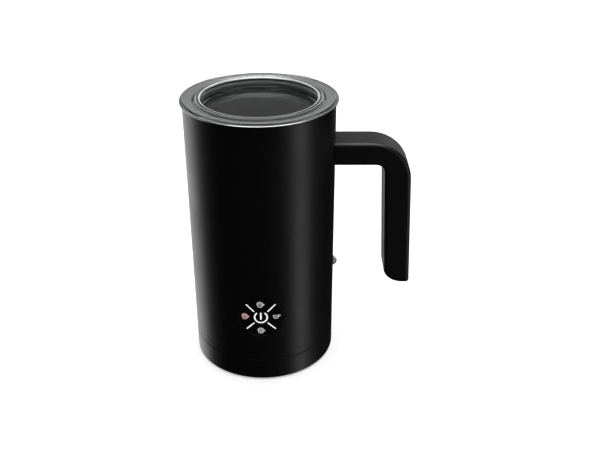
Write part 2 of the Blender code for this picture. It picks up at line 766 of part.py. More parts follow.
def build_whisk_hub():
    bore = BUSH_RADIUS + RUN
    profile = [
        (bore, HUB_TOP),
        (HUB_RADIUS * 0.55, HUB_TOP),
        (HUB_RADIUS - 4 * EDGE_BREAK, HUB_TOP - HUB_THICK * 0.35),
        (HUB_RADIUS, HUB_TOP - HUB_THICK * 0.55),
        (HUB_RADIUS, HUB_BOTTOM + EDGE_BREAK),
        (HUB_RADIUS - EDGE_BREAK, HUB_BOTTOM),
        (bore, HUB_BOTTOM),
    ]
    hub = turned("whisk_hub", profile, "plastic_black", PART_STEPS)
    for i, angle in enumerate((0.0, 180.0)):
        low = polar(MAGNET_CIRCLE, angle, HUB_BOTTOM - CUT)
        high = polar(MAGNET_CIRCLE, angle, HUB_BOTTOM + MAGNET_THICK + 2 * GAP)
        cut(hub, cylinder(f"hub_pocket_{i}", MAGNET_RADIUS + GAP, low, high, "plastic_black"))
    for i, angle in enumerate((90.0, 270.0)):
        low = polar(COIL_RING_RADIUS, angle, HUB_BOTTOM + HUB_THICK * 0.3)
        high = polar(COIL_RING_RADIUS, angle, HUB_TOP + CUT)
        cut(hub, cylinder(f"hub_leg_hole_{i}", CORE_WIRE_RADIUS + GAP, low, high, "plastic_black", 8))


def build_magnets(owner, bottom):
    for i, angle in enumerate((0.0, 180.0)):
        low = polar(MAGNET_CIRCLE, angle, bottom)
        high = polar(MAGNET_CIRCLE, angle, bottom + MAGNET_THICK)
        cylinder(f"{owner}_magnet_{i + 1}", MAGNET_RADIUS, low, high, "magnet_nickel")


def build_whisk_wire():
    """The ring that carries the coil, and its two legs down into the hub."""
    steps = 32
    points = [polar(COIL_RING_RADIUS, 360 * i / steps, COIL_HEIGHT) for i in range(steps)]
    ring = tube("whisk_wire", points, CORE_WIRE_RADIUS, "plain_steel", 1, closed=True)
    for i, angle in enumerate((90.0, 270.0)):
        low = polar(COIL_RING_RADIUS, angle, HUB_BOTTOM + HUB_THICK * 0.3 + GAP)
        high = polar(COIL_RING_RADIUS, angle, COIL_HEIGHT)
        join(ring, cylinder(f"wire_leg_{i}", CORE_WIRE_RADIUS, low, high, "plain_steel", 8))


def build_whisk_coil():
    """A wire wound round the ring. Its turns are phased so that the legs pass between two of them."""
    phase = math.pi / 2 - COIL_TURNS * math.pi / 2
    points = []
    count = COIL_TURNS * COIL_POINTS_PER_TURN
    for i in range(count):
        around = 2 * math.pi * i / count
        wound = COIL_TURNS * around + phase
        reach = COIL_RING_RADIUS + COIL_RADIUS * math.cos(wound)
        points.append(polar(reach, math.degrees(around), COIL_HEIGHT + COIL_RADIUS * math.sin(wound)))
    tube("whisk_coil", points, COIL_WIRE_RADIUS, "plain_steel", 0, closed=True)


# ---- Heater ----


def build_heater_plate():
    profile = [
        (HEATER_OUTER, HEATER_TOP),
        (HEATER_OUTER, HEATER_BOTTOM),
        (HEATER_INNER, HEATER_BOTTOM),
        (HEATER_INNER, HEATER_TOP),
    ]
    turned("heater_plate", profile, "heater_aluminium")


def build_heater_tube():
    """A bent tubular element, open behind, whose ends turn down to their terminals."""
    height = HEATER_BOTTOM - GAP - HEATER_TUBE_RADIUS
    start = 90 + HEATER_GAP_DEG / 2
    sweep = 360 - HEATER_GAP_DEG
    steps = 20
    points = [polar(HEATER_MIDDLE, start + sweep * i / steps, height) for i in range(steps + 1)]
    down = Vector((0, 0, -HEATER_TAIL))
    points = [points[0] + down, *points, points[-1] + down]
    tube("heater_tube", points, HEATER_TUBE_RADIUS, "plain_steel", 2)


def build_thermal_cutout():
    top = HEATER_BOTTOM - GAP
    low = polar(HEATER_MIDDLE, 90, top - CUTOUT_THICK)
    cutout = cylinder("thermal_cutout", CUTOUT_RADIUS, low, polar(HEATER_MIDDLE, 90, top), "plastic_black")
    for i, side in enumerate((-1, 1)):
        tab_low = low + Vector((side * CUTOUT_RADIUS * 0.5 - 0.0004, -0.002, -0.003))
        tab_high = low + Vector((side * CUTOUT_RADIUS * 0.5 + 0.0004, 0.002, 0.001))
        join(cutout, box(f"cutout_tab_{i}", tab_low, tab_high, "plain_steel"))


def build_temperature_sensor():
    top = HEATER_BOTTOM - GAP
    angle = 90 + SENSOR_ANGLE_DEG
    low = polar(HEATER_MIDDLE, angle, top - SENSOR_LENGTH)
    cylinder("temperature_sensor", SENSOR_RADIUS, low, polar(HEATER_MIDDLE, angle, top), "plain_steel")


# ---- Motor and magnet drive ----


def heater_tail_angles():
    return (90 + HEATER_GAP_DEG / 2, 90 - HEATER_GAP_DEG / 2)


def column_angles():
    return [30.0 + 360.0 * i / COLUMN_COUNT for i in range(COLUMN_COUNT)]


def build_drive_bracket():
    hole = MOTOR_BOSS_RADIUS + GAP
    profile = [(BRACKET_RADIUS, BRACKET_TOP), (BRACKET_RADIUS, BRACKET_BOTTOM), (hole, BRACKET_BOTTOM),
               (hole, BRACKET_TOP)]
    plate = turned("drive_bracket", profile, "frame_grey")
    for i, angle in enumerate(column_angles()):
        foot = polar(COLUMN_CIRCLE, angle, BRACKET_BOTTOM + BRACKET_THICK / 2)
        top = polar(COLUMN_CIRCLE, angle, POT_UNDERSIDE - GAP)
        join(plate, cylinder(f"bracket_column_{i}", COLUMN_RADIUS, foot, top, "frame_grey"))
    for i, angle in enumerate(column_angles()):
        low = polar(COLUMN_CIRCLE, angle, BRACKET_BOTTOM - CUT)
        high = polar(COLUMN_CIRCLE, angle, POT_UNDERSIDE + CUT)
        cut(plate, cylinder(f"column_bore_{i}", SCREW_HOLE, low, high, "frame_grey"))
    for i, angle in enumerate(heater_tail_angles()):
        low = polar(MOTOR_RADIUS + LEAD_REACH, angle, BRACKET_BOTTOM - CUT)
        high = polar(MOTOR_RADIUS + LEAD_REACH, angle, BRACKET_TOP + CUT)
        cut(plate, cylinder(f"lead_hole_{i}", LEAD_HOLE_RADIUS, low, high, "frame_grey"))
    for i, side in enumerate((-1, 1)):
        x = side * MOTOR_SCREW_CIRCLE
        low, high = (x, 0, BRACKET_BOTTOM - CUT), (x, 0, BRACKET_TOP + CUT)
        cut(plate, cylinder(f"bracket_motor_hole_{i}", SMALL_SCREW_HOLE, low, high, "frame_grey", 8))


def build_bracket_screws():
    for i, angle in enumerate(column_angles()):
        seat = polar(COLUMN_CIRCLE, angle, BRACKET_BOTTOM - GAP)
        length = POT_UNDERSIDE - BRACKET_BOTTOM - GAP
        screw(f"bracket_screw_{i + 1}", seat, (0, 0, 1), length)


def build_motor_case():
    bore = SHAFT_RADIUS + RUN
    boss_top = BRACKET_TOP + GAP
    profile = [
        (0.0, MOTOR_BOTTOM),
        (MOTOR_RADIUS, MOTOR_BOTTOM),
        (MOTOR_RADIUS, MOTOR_TOP - 2 * EDGE_BREAK),
        (MOTOR_RADIUS - 2 * EDGE_BREAK, MOTOR_TOP),
        (MOTOR_BOSS_RADIUS, MOTOR_TOP),
        (MOTOR_BOSS_RADIUS, boss_top),
        (bore, boss_top),
        (bore, DISC_TOP - SHAFT_LENGTH - GAP),
        (0.0, DISC_TOP - SHAFT_LENGTH - GAP),
    ]
    case = turned("motor_case", profile, "plain_steel", PART_STEPS)
    for i, side in enumerate((-1, 1)):
        x = side * MOTOR_SCREW_CIRCLE
        cut(
            case,
            cylinder(f"motor_thread_{i}", SMALL_SCREW_HOLE, (x, 0, MOTOR_TOP - 0.006), (x, 0, MOTOR_TOP + CUT),
                     "plain_steel", 8),
        )


def build_motor_end_cap():
    top = MOTOR_BOTTOM - GAP
    cap = cylinder("motor_end_cap", MOTOR_RADIUS - GAP, (0, 0, END_CAP_BOTTOM), (0, 0, top), "plastic_black",
                   PART_STEPS)
    for i, side in enumerate((-1, 1)):
        x = side * MOTOR_RADIUS * 0.55
        low = (x - 0.0004, -0.0015, END_CAP_BOTTOM - TERMINAL_LENGTH)
        high = (x + 0.0004, 0.0015, END_CAP_BOTTOM + 0.001)
        join(cap, box(f"motor_terminal_{i}", low, high, "plain_steel"))


def build_motor_screws():
    for i, side in enumerate((-1, 1)):
        seat = (side * MOTOR_SCREW_CIRCLE, 0, BRACKET_TOP + GAP)
        screw(f"motor_screw_{i + 1}", seat, (0, 0, -1), 0.007, SMALL_SCREW_RADIUS, SMALL_HEAD_RADIUS,
              SMALL_HEAD_THICK)


def build_motor_shaft():
    low, high = (0, 0, DISC_TOP - SHAFT_LENGTH), (0, 0, DISC_TOP - GAP)
    cylinder("motor_shaft", SHAFT_RADIUS, low, high, "plain_steel")


def build_drive_disc():
    bore = SHAFT_RADIUS + GAP
    profile = [(HUB_RADIUS, DISC_TOP), (HUB_RADIUS, DISC_BOTTOM), (bore, DISC_BOTTOM), (bore, DISC_TOP)]
    disc = turned("drive_disc", profile, "frame_grey", PART_STEPS)
    for i, angle in enumerate((0.0, 180.0)):
        low = polar(MAGNET_CIRCLE, angle, DISC_TOP - MAGNET_THICK - 2 * GAP)
        high = polar(MAGNET_CIRCLE, angle, DISC_TOP + CUT)
        cut(disc, cylinder(f"disc_pocket_{i}", MAGNET_RADIUS + GAP, low, high, "frame_grey"))


# ---- Power board ----


def build_power_board():
    """The board and the blocks on it, laid out in shares of the board's depth."""
    half = (BOARD_WIDTH / 2, BOARD_DEPTH / 2)
    box("power_board", (-half[0], -half[1], BOARD_BOTTOM), (half[0], half[1], BOARD_TOP), "board_green")
    blocks = (
        ("board_transformer", (-0.51, -0.42), (-0.25, 0.02), 1.0, "frame_grey"),
        ("board_relay", (0.03, 0.14), (0.50, 0.39), 0.97, "plastic_black"),
        ("board_terminal_block", (0.28, -0.43), (0.50, 0.02), 0.87, "board_green"),
        ("board_fuse", (-0.03, -0.40), (0.13, -0.30), 0.4, "plain_steel"),
    )
    for name, low, high, share, slot in blocks:
        foot = Vector((low[0] * BOARD_DEPTH, low[1] * BOARD_DEPTH, BOARD_TOP + GAP))
        top = Vector((high[0] * BOARD_DEPTH, high[1] * BOARD_DEPTH, BOARD_TOP + GAP + share * BOARD_TALLEST))
        box(name, foot, top, slot)
    radius = 0.45 * BOARD_TALLEST
    lying = Vector((-0.45 * BOARD_DEPTH, 0.27 * BOARD_DEPTH, BOARD_TOP + GAP + radius))
    cylinder("board_capacitor", radius, lying, lying + Vector((0.37 * BOARD_DEPTH, 0, 0)), "plastic_black")


# ---- Touch panel ----


def build_panel_lens():
    outer = BODY_RADIUS - LENS_SUNK
    inner = outer - LENS_THICK
    reach = LENS_RADIUS + CUT
    low, high = PANEL_HEIGHT - reach, PANEL_HEIGHT + reach
    lens = turned("panel_lens", [(outer, high), (outer, low), (inner, low), (inner, high)], "lens_black")
    plug = cylinder(
        "lens_plug",
        LENS_RADIUS,
        (0, -chord(inner, LENS_RADIUS) + CUT, PANEL_HEIGHT),
        (0, -outer - CUT, PANEL_HEIGHT),
        "lens_black",
        BODY_STEPS,
    )
    boolean(lens, plug, "INTERSECT")


def lens_back():
    """The Y of the lens's inner wall, where the light guide's edge comes nearest to it."""
    return -chord(BODY_RADIUS - LENS_SUNK - LENS_THICK, GUIDE_RADIUS)


def build_light_guide():
    front = lens_back() + 2 * GAP
    cylinder("light_guide", GUIDE_RADIUS, (0, front, PANEL_HEIGHT), (0, front + GUIDE_THICK, PANEL_HEIGHT),
             "icon_white", PART_STEPS)


def build_control_board():
    width, thick, height = CONTROL_SIZE
    front = lens_back() + 3 * GAP + GUIDE_THICK
    low = (-width / 2, front, PANEL_HEIGHT - height / 2)
    high = (width / 2, front + thick, PANEL_HEIGHT + height / 2)
    box("control_board", low, high, "board_green")
    carrier_low = Vector((low[0] - CARRIER_BAR, front, FRAME_TOP + GAP))
    carrier_high = Vector((high[0] + CARRIER_BAR, front + CARRIER_DEPTH, 2 * PANEL_HEIGHT - FRAME_TOP - GAP))
    carrier = box("panel_carrier", carrier_low, carrier_high, "frame_grey")
    hole_low = Vector(low) - Vector((GAP, CUT, GAP))
    hole_high = Vector(high) + Vector((GAP, CUT + CARRIER_DEPTH, GAP))
    cut(carrier, box("carrier_window", hole_low, hole_high, "frame_grey"))


# ---- Handle ----


def grip_x(start, height):
    """The X at a height of a line that starts at the arm's underside and splays outwards below it."""
    return start + GRIP_SPLAY * (ARM_BOTTOM - height)


def build_handle_shell():
    root = BODY_RADIUS - 5 * CUT
    inner_face = BODY_RADIUS + GRIP_REACH
    outer_face = inner_face + GRIP_THICK
    outline = rounded_outline([
        (root, ARM_TOP, 0),
        (grip_x(outer_face, ARM_TOP), ARM_TOP, OUTER_CORNER),
        (grip_x(outer_face, GRIP_BOTTOM), GRIP_BOTTOM, END_OUTER_CORNER),
        (grip_x(inner_face, GRIP_BOTTOM) + END_CUT_ACROSS, GRIP_BOTTOM, END_LOW_CORNER),
        (grip_x(inner_face, GRIP_BOTTOM + END_CUT_UP), GRIP_BOTTOM + END_CUT_UP, END_HIGH_CORNER),
        (inner_face, ARM_BOTTOM, INNER_CORNER),
        (root, ARM_BOTTOM, 0),
    ])
    shell = outline_solid("handle_shell", outline, HANDLE_WIDTH / 2, "plastic_black")
    bevel = shell.modifiers.new("edges", "BEVEL")
    bevel.width = HANDLE_EDGE
    bevel.segments = 3
    bevel.limit_method = "ANGLE"
    bevel.angle_limit = math.radians(50)
    cut(shell, outline_solid("handle_pocket", pocket_outline(0.0), POCKET_WIDTH / 2, "plastic_black"))
    low, high = (0, 0, GRIP_BOTTOM), (0, 0, RIM_HEIGHT)
    cut(shell, cylinder("body_clearance", BODY_RADIUS + GAP, low, high, "plastic_black", BODY_STEPS))
    for i, side in enumerate((-1, 1)):
        y = side * HANDLE_SCREW_SPREAD
        z = (ARM_TOP + ARM_BOTTOM) / 2
        end = BODY_RADIUS + HANDLE_SCREW_REACH + CUT
        cut(shell, cylinder(f"arm_pilot_{i}", SCREW_HOLE, (root, y, z), (end, y, z), "plastic_black"))


def pocket_outline(inset, depth=None):
    """The hollow along the inner side of the handle. An inset shrinks it, and a depth gives its floor."""
    inner_face = BODY_RADIUS + GRIP_REACH
    reach = (POCKET_DEPTH if depth is None else depth) - inset
    start = BODY_RADIUS + HANDLE_SCREW_REACH + 2 * CUT + inset
    low = GRIP_BOTTOM + END_CUT_UP + END_CUT_ACROSS / 2 + CUT + inset
    below = 0.0 if depth is not None else CUT
    face = inner_face - below
    return rounded_outline([
        (start, ARM_BOTTOM - below, 0),
        (start, ARM_BOTTOM + reach, 0),
        (grip_x(inner_face + reach, ARM_BOTTOM + reach), ARM_BOTTOM + reach, INNER_CORNER + reach),
        (grip_x(inner_face + reach, low), low, 0),
        (grip_x(face, low), low, 0),
        (face, ARM_BOTTOM - below, INNER_CORNER),
    ])


def build_handle_cover():
    outline = pocket_outline(GAP, INLAY_THICK + GAP)
    outline_solid("handle_cover", outline, POCKET_WIDTH / 2 - GAP, "plastic_black")


def build_handle_screws():
    for i, side in enumerate((-1, 1)):
        y = side * HANDLE_SCREW_SPREAD
        seat_x = chord(SHELL_INNER, HANDLE_SCREW_SPREAD + SCREW_HEAD_RADIUS) - GAP
        reach = BODY_RADIUS + HANDLE_SCREW_REACH - seat_x
        screw(f"handle_screw_{i + 1}", (seat_x, y, (ARM_TOP + ARM_BOTTOM) / 2), (1, 0, 0), reach)


# ---- Mains lead gland ----


def gland_axis():
    """(point, radius) stations of the gland, from its inner flange round the elbow to its tip."""
    drop = math.radians(GLAND_DROP_DEG)
    wall = BODY_RADIUS + GAP
    inner = chord(SHELL_INNER * math.cos(math.pi / BODY_STEPS), GLAND_FLANGE_RADIUS) - GAP
    stations = [
        (inner - 0.002, 0.0, GLAND_FLANGE_RADIUS),
        (inner, 0.0, GLAND_FLANGE_RADIUS),
        (inner + EDGE_BREAK / 3, 0.0, GLAND_NECK_RADIUS),
        (wall, 0.0, GLAND_NECK_RADIUS),
        (wall + EDGE_BREAK / 3, 0.0, GLAND_ROOT_RADIUS + EDGE_BREAK),
    ]
    bend_start = wall + 0.0012
    bend_steps = 5
    for k in range(bend_steps + 1):
        turn = drop * k / bend_steps
        stations.append((
            bend_start + GLAND_ELBOW * math.sin(turn),
            -GLAND_ELBOW * (1 - math.cos(turn)),
            GLAND_ROOT_RADIUS,
        ))
    corner_x, corner_z, _ = stations[-1]
    pitch = GLAND_TAIL / GLAND_RIBS
    for rib in range(GLAND_RIBS):
        share = (rib + 1) / GLAND_RIBS
        radius = GLAND_ROOT_RADIUS + (GLAND_TIP_RADIUS - GLAND_ROOT_RADIUS) * share
        for along, depth in ((0.12, 1.0), (0.38, 1.0), (0.5, 0.0), (1.0, 0.0)):
            run = pitch * (rib + along)
            stations.append((
                corner_x + run * math.cos(drop),
                corner_z - run * math.sin(drop),
                radius - depth * GLAND_RIB_DEPTH,
            ))
    return [(polar(x, GLAND_ANGLE_DEG, GLAND_HEIGHT + z), radius) for x, z, radius in stations]


def build_lead_gland():
    """A ribbed rubber boot that turns down, bored for the lead all the way."""
    stations = gland_axis()
    points = [point for point, _ in stations]
    scales = [radius / GLAND_ROOT_RADIUS for _, radius in stations]
    gland = tube("lead_gland", points, GLAND_ROOT_RADIUS, "rubber_grey", 3, scales)
    keep = [0, 3, 5, 6, 7, 8, 9, 10, len(points) - 1]
    bore = [points[i] for i in keep]
    bore[0] = bore[0] - polar(CUT, GLAND_ANGLE_DEG)
    bore[-1] = bore[-1] + (points[-1] - points[-2]).normalized() * CUT
    cut(gland, tube("gland_bore", bore, GLAND_BORE_RADIUS, "rubber_grey", 2))


# ---- Inner leads ----


def build_leads():
    """Insulated leads: the motor's pair to the power board and the heater's pair up to its tails."""
    lead_top = BOARD_TOP + 2 * GAP + LEAD_RADIUS
    terminal = END_CAP_BOTTOM - TERMINAL_LENGTH - GAP - LEAD_RADIUS
    motor_x = MOTOR_RADIUS * 0.55
    for i, side in enumerate((-1, 1)):
        route = [
            (side * motor_x, 0.0, terminal),
            (side * motor_x, -0.010, terminal - 0.0004),
            (side * motor_x, -0.0185, terminal - 0.003),
            (side * motor_x, -0.0185, lead_top),
        ]
        tube(f"motor_lead_{i + 1}", smooth_path(route, 4), LEAD_RADIUS, "lead_red", 1)
    tail_end = HEATER_BOTTOM - GAP - HEATER_TUBE_RADIUS - HEATER_TAIL - GAP
    for i, (side, angle) in enumerate(zip((-1, 1), heater_tail_angles())):
        reach = MOTOR_RADIUS + LEAD_REACH
        foot = (side * 0.44 * BOARD_DEPTH, 0.455 * BOARD_DEPTH)
        route = [
            polar(HEATER_MIDDLE, angle, tail_end - LEAD_RADIUS),
            polar(reach, angle, BRACKET_TOP),
            polar(reach, angle, MOTOR_BOTTOM),
            (*foot, BOARD_TOP + BOARD_TALLEST),
            (*foot, lead_top),
        ]
        tube(f"heater_lead_{i + 1}", smooth_path(route, 4), LEAD_RADIUS, "lead_red", 1)


build_foot_pad()
build_base_cover()
build_base_screws()
build_inner_frame()
build_housing_shell()
build_rim_ring()
build_milk_pot()
build_pot_gasket()
build_lid()
build_lid_seal()
build_whisk_pin()
build_whisk_bush()
build_whisk_hub()
build_magnets("whisk", HUB_BOTTOM + GAP)
build_whisk_wire()
build_whisk_coil()
build_heater_plate()
build_heater_tube()
build_thermal_cutout()
build_temperature_sensor()
build_drive_bracket()
build_bracket_screws()
build_motor_case()
build_motor_end_cap()
build_motor_screws()
build_motor_shaft()
build_drive_disc()
build_magnets("drive", DISC_TOP - MAGNET_THICK - GAP)
build_power_board()
build_panel_lens()
build_light_guide()
build_control_board()
build_handle_shell()
build_handle_cover()
build_handle_screws()
build_lead_gland()
build_leads()
hang("lid_lift", "lid", "lid_seal")
hang("whisk_spin", "whisk_hub", "whisk_magnet_1", "whisk_magnet_2", "whisk_wire", "whisk_coil")
hang("motor_spin", "motor_shaft", "drive_disc", "drive_magnet_1", "drive_magnet_2")
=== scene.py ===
import math
import bmesh
import bpy
import numpy as np
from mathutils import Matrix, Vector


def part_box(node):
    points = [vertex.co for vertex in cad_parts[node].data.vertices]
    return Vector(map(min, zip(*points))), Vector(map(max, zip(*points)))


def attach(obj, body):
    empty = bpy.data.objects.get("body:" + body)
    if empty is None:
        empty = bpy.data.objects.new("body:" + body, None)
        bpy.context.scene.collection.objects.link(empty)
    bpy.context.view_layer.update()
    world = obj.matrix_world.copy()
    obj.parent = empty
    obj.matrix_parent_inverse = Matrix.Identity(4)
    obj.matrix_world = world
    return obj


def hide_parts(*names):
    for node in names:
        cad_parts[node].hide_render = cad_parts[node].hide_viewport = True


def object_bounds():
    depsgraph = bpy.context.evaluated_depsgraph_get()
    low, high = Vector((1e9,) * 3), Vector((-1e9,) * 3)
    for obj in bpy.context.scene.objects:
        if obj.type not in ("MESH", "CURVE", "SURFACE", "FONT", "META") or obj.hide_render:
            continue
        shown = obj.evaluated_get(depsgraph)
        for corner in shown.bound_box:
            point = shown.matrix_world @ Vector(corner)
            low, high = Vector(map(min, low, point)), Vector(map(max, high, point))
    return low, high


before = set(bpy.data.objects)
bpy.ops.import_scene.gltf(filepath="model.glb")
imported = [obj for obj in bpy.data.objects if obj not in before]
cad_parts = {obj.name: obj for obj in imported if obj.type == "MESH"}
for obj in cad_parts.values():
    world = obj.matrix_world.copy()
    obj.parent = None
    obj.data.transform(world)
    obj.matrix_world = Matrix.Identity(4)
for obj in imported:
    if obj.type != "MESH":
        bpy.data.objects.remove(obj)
cadLow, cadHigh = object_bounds()
mm = 0.001


def unit(v):
    # each row of v at length one
    return v / np.maximum(np.linalg.norm(v, axis=-1, keepdims=True), 1e-12)


def softOutline(corners, steps=6, support=0.25 * mm):
    # every corner (across, up, radius) becomes an arc, and each straight side gets a point close to both ends
    corners = np.array(corners, float)
    here, radius = corners[:, :2], corners[:, 2]
    toBefore = unit(np.roll(here, 1, 0) - here)
    toAfter = unit(np.roll(here, -1, 0) - here)
    half = np.arccos((toBefore * toAfter).sum(1).clip(-0.9999, 0.9999)) / 2
    centre = here + unit(toBefore + toAfter) * (radius / np.sin(half))[:, None]
    first = here + toBefore * (radius / np.tan(half))[:, None] - centre
    last = here + toAfter * (radius / np.tan(half))[:, None] - centre
    sweep = (math.pi - 2 * half)[:, None]
    t = np.linspace(0, 1, steps + 1)[None, :]
    a = np.sin((1 - t) * sweep) / np.sin(sweep)
    b = np.sin(t * sweep) / np.sin(sweep)
    arcs = centre[:, None] + a[..., None] * first[:, None] + b[..., None] * last[:, None]
    ends = np.roll(arcs[:, 0], -1, 0)
    side = ends - arcs[:, -1]
    step = unit(side) * np.minimum(support, 0.25 * np.linalg.norm(side, axis=1))[:, None]
    return np.concatenate([arcs, (arcs[:, -1] + step)[:, None], (ends - step)[:, None]], 1).reshape(-1, 2)


def openOutline(corners, steps=6, support=0.25 * mm):
    # the same for a line that doesn't come back to its start
    return softOutline(corners, steps, support)[: -2]


def gridFaces(rows, columns, closeRows, closeColumns):
    # one face for each cell; a closed direction joins its last line to its first
    r = np.arange(rows if closeRows else rows - 1)
    c = np.arange(columns if closeColumns else columns - 1)
    r, c = [k.ravel() for k in np.meshgrid(r, c, indexing="ij")]
    r2, c2 = (r + 1) % rows, (c + 1) % columns
    return np.stack([r * columns + c, r * columns + c2, r2 * columns + c2, r2 * columns + c], 1)


def makePiece(name, points, faces, material, body, replaced=(), sharp=35):
    # a mesh from arrays: doubles merged, faces turned outwards, shaded smooth
    mesh = bpy.data.meshes.new(name)
    mesh.from_pydata(np.asarray(points, float).reshape(-1, 3).tolist(), [], [list(f) for f in faces])
    shape = bmesh.new()
    shape.from_mesh(mesh)
    bmesh.ops.remove_doubles(shape, verts=shape.verts, dist=1e-7)
    bmesh.ops.dissolve_degenerate(shape, dist=1e-8, edges=shape.edges)
    loose = [v for v in shape.verts if not v.link_faces]
    bmesh.ops.delete(shape, geom=loose, context="VERTS")
    bmesh.ops.recalc_face_normals(shape, faces=shape.faces)
    shape.to_mesh(mesh)
    shape.free()
    mesh.materials.append(material)
    mesh.shade_smooth()
    mesh.set_sharp_from_angle(angle=math.radians(sharp))
    piece = bpy.data.objects.new(name, mesh)
    bpy.context.scene.collection.objects.link(piece)
    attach(piece, body)
    if replaced:
        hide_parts(*replaced)
    return piece


def joinGrids(grids):
    # several (points, faces) as one
    points, faces, count = [], [], 0
    for p, f in grids:
        p = np.asarray(p, float).reshape(-1, 3)
        points.append(p)
        faces += (np.asarray(f) + count).tolist()
        count += len(p)
    return np.concatenate(points), faces


def turnedGrid(profile, closed, around=192):
    # a profile of (distance from the axis, height) carried round the upright axis
    angle = np.linspace(0, 2 * math.pi, around, endpoint=False)
    r, z = profile[:, 0][:, None], profile[:, 1][:, None]
    points = np.stack([r * np.cos(angle), r * np.sin(angle), z + 0 * angle], -1)
    return points, gridFaces(len(profile), around, closed, True)


def sweepGrid(path, reference, section, closedPath=False, closedSection=True, caps=True):
    # a section of (side, up) points carried along a path; reference says which way up is, and both may vary
    path = np.asarray(path, float)
    if closedPath:
        along = np.roll(path, -1, 0) - np.roll(path, 1, 0)
    else:
        along = np.gradient(path, axis=0)
    along = unit(along)
    side = unit(np.cross(along, np.broadcast_to(np.asarray(reference, float), path.shape)))
    up = np.cross(side, along)
    section = np.asarray(section, float)
    if section.ndim == 2:
        section = np.broadcast_to(section, (len(path), *section.shape))
    points = path[:, None] + section[..., :1] * side[:, None] + section[..., 1:] * up[:, None]
    faces = gridFaces(len(path), section.shape[1], closedPath, closedSection).tolist()
    if caps and not closedPath:
        count = section.shape[1]
        faces.append(list(range(count))[::-1])
        faces.append([(len(path) - 1) * count + k for k in range(count)])
    return points, faces


def circleSection(radius, sides):
    # circles of one radius, or of a radius for each point of the path
    angle = np.linspace(0, 2 * math.pi, sides, endpoint=False)
    ring = np.stack([np.cos(angle), np.sin(angle)], -1)
    return np.asarray(radius, float)[..., None, None] * ring if np.ndim(radius) else radius * ring


def startGroup(name, inputs, outputs):
    # an empty node group with its sockets, returned with its input and output nodes
    group = bpy.data.node_groups.new(name, "ShaderNodeTree")
    for label, kind, value in inputs:
        socket = group.interface.new_socket(label, in_out="INPUT", socket_type="NodeSocket" + kind)
        socket.default_value = value
    for label, kind in outputs:
        group.interface.new_socket(label, in_out="OUTPUT", socket_type="NodeSocket" + kind)
    return group, group.nodes.new("NodeGroupInput"), group.nodes.new("NodeGroupOutput")


def addNode(tree, kind, settings=None, **inputs):
    # a node with its settings, and its inputs as numbers or as links from other sockets
    node = tree.nodes.new("ShaderNode" + kind)
    for key, value in (settings or {}).items():
        setattr(node, key, value)
    for key, value in inputs.items():
        wanted = key.replace("_", " ").strip()
        socket = node.inputs[int(wanted)] if wanted.isdigit() else node.inputs[wanted]
        if isinstance(value, bpy.types.NodeSocket):
            tree.links.new(value, socket)
        else:
            socket.default_value = value
    return node


def mathNode(tree, operation, first, second=0.0, third=0.0):
    # one sum, product or comparison of numbers or sockets, returned as a socket
    node = addNode(tree, "Math", {"operation": operation})
    for k, value in enumerate((first, second, third)):
        if isinstance(value, bpy.types.NodeSocket):
            tree.links.new(value, node.inputs[k])
        else:
            node.inputs[k].default_value = value
    return node.outputs[0]


def buildGrain():
    # moulded or sprayed grain: two sizes of noise raise the surface and vary its gloss
    group, start, end = startGroup(
        "fineGrain",
        [("Scale", "Float", 2500.0), ("Depth", "Float", 0.00001), ("Strength", "Float", 0.3),
         ("Smoothest", "Float", 0.3), ("Roughest", "Float", 0.4)],
        [("Roughness", "Float"), ("Normal", "Vector")])
    place = addNode(group, "TexCoord").outputs["Object"]
    small = addNode(group, "TexNoise", Vector=place, Scale=start.outputs["Scale"], Detail=2.0)
    broad = addNode(group, "TexNoise", Vector=place, Scale=34.0, Detail=3.0, Roughness=0.6)
    gloss = addNode(group, "MapRange", {"clamp": True}, Value=broad.outputs["Fac"])
    gloss.inputs["From Min"].default_value = 0.35
    gloss.inputs["From Max"].default_value = 0.65
    group.links.new(start.outputs["Smoothest"], gloss.inputs["To Min"])
    group.links.new(start.outputs["Roughest"], gloss.inputs["To Max"])
    bump = addNode(group, "Bump", Strength=start.outputs["Strength"], Distance=start.outputs["Depth"],
                   Height=small.outputs["Fac"])
    group.links.new(gloss.outputs["Result"], end.inputs["Roughness"])
    group.links.new(bump.outputs["Normal"], end.inputs["Normal"])
    return group


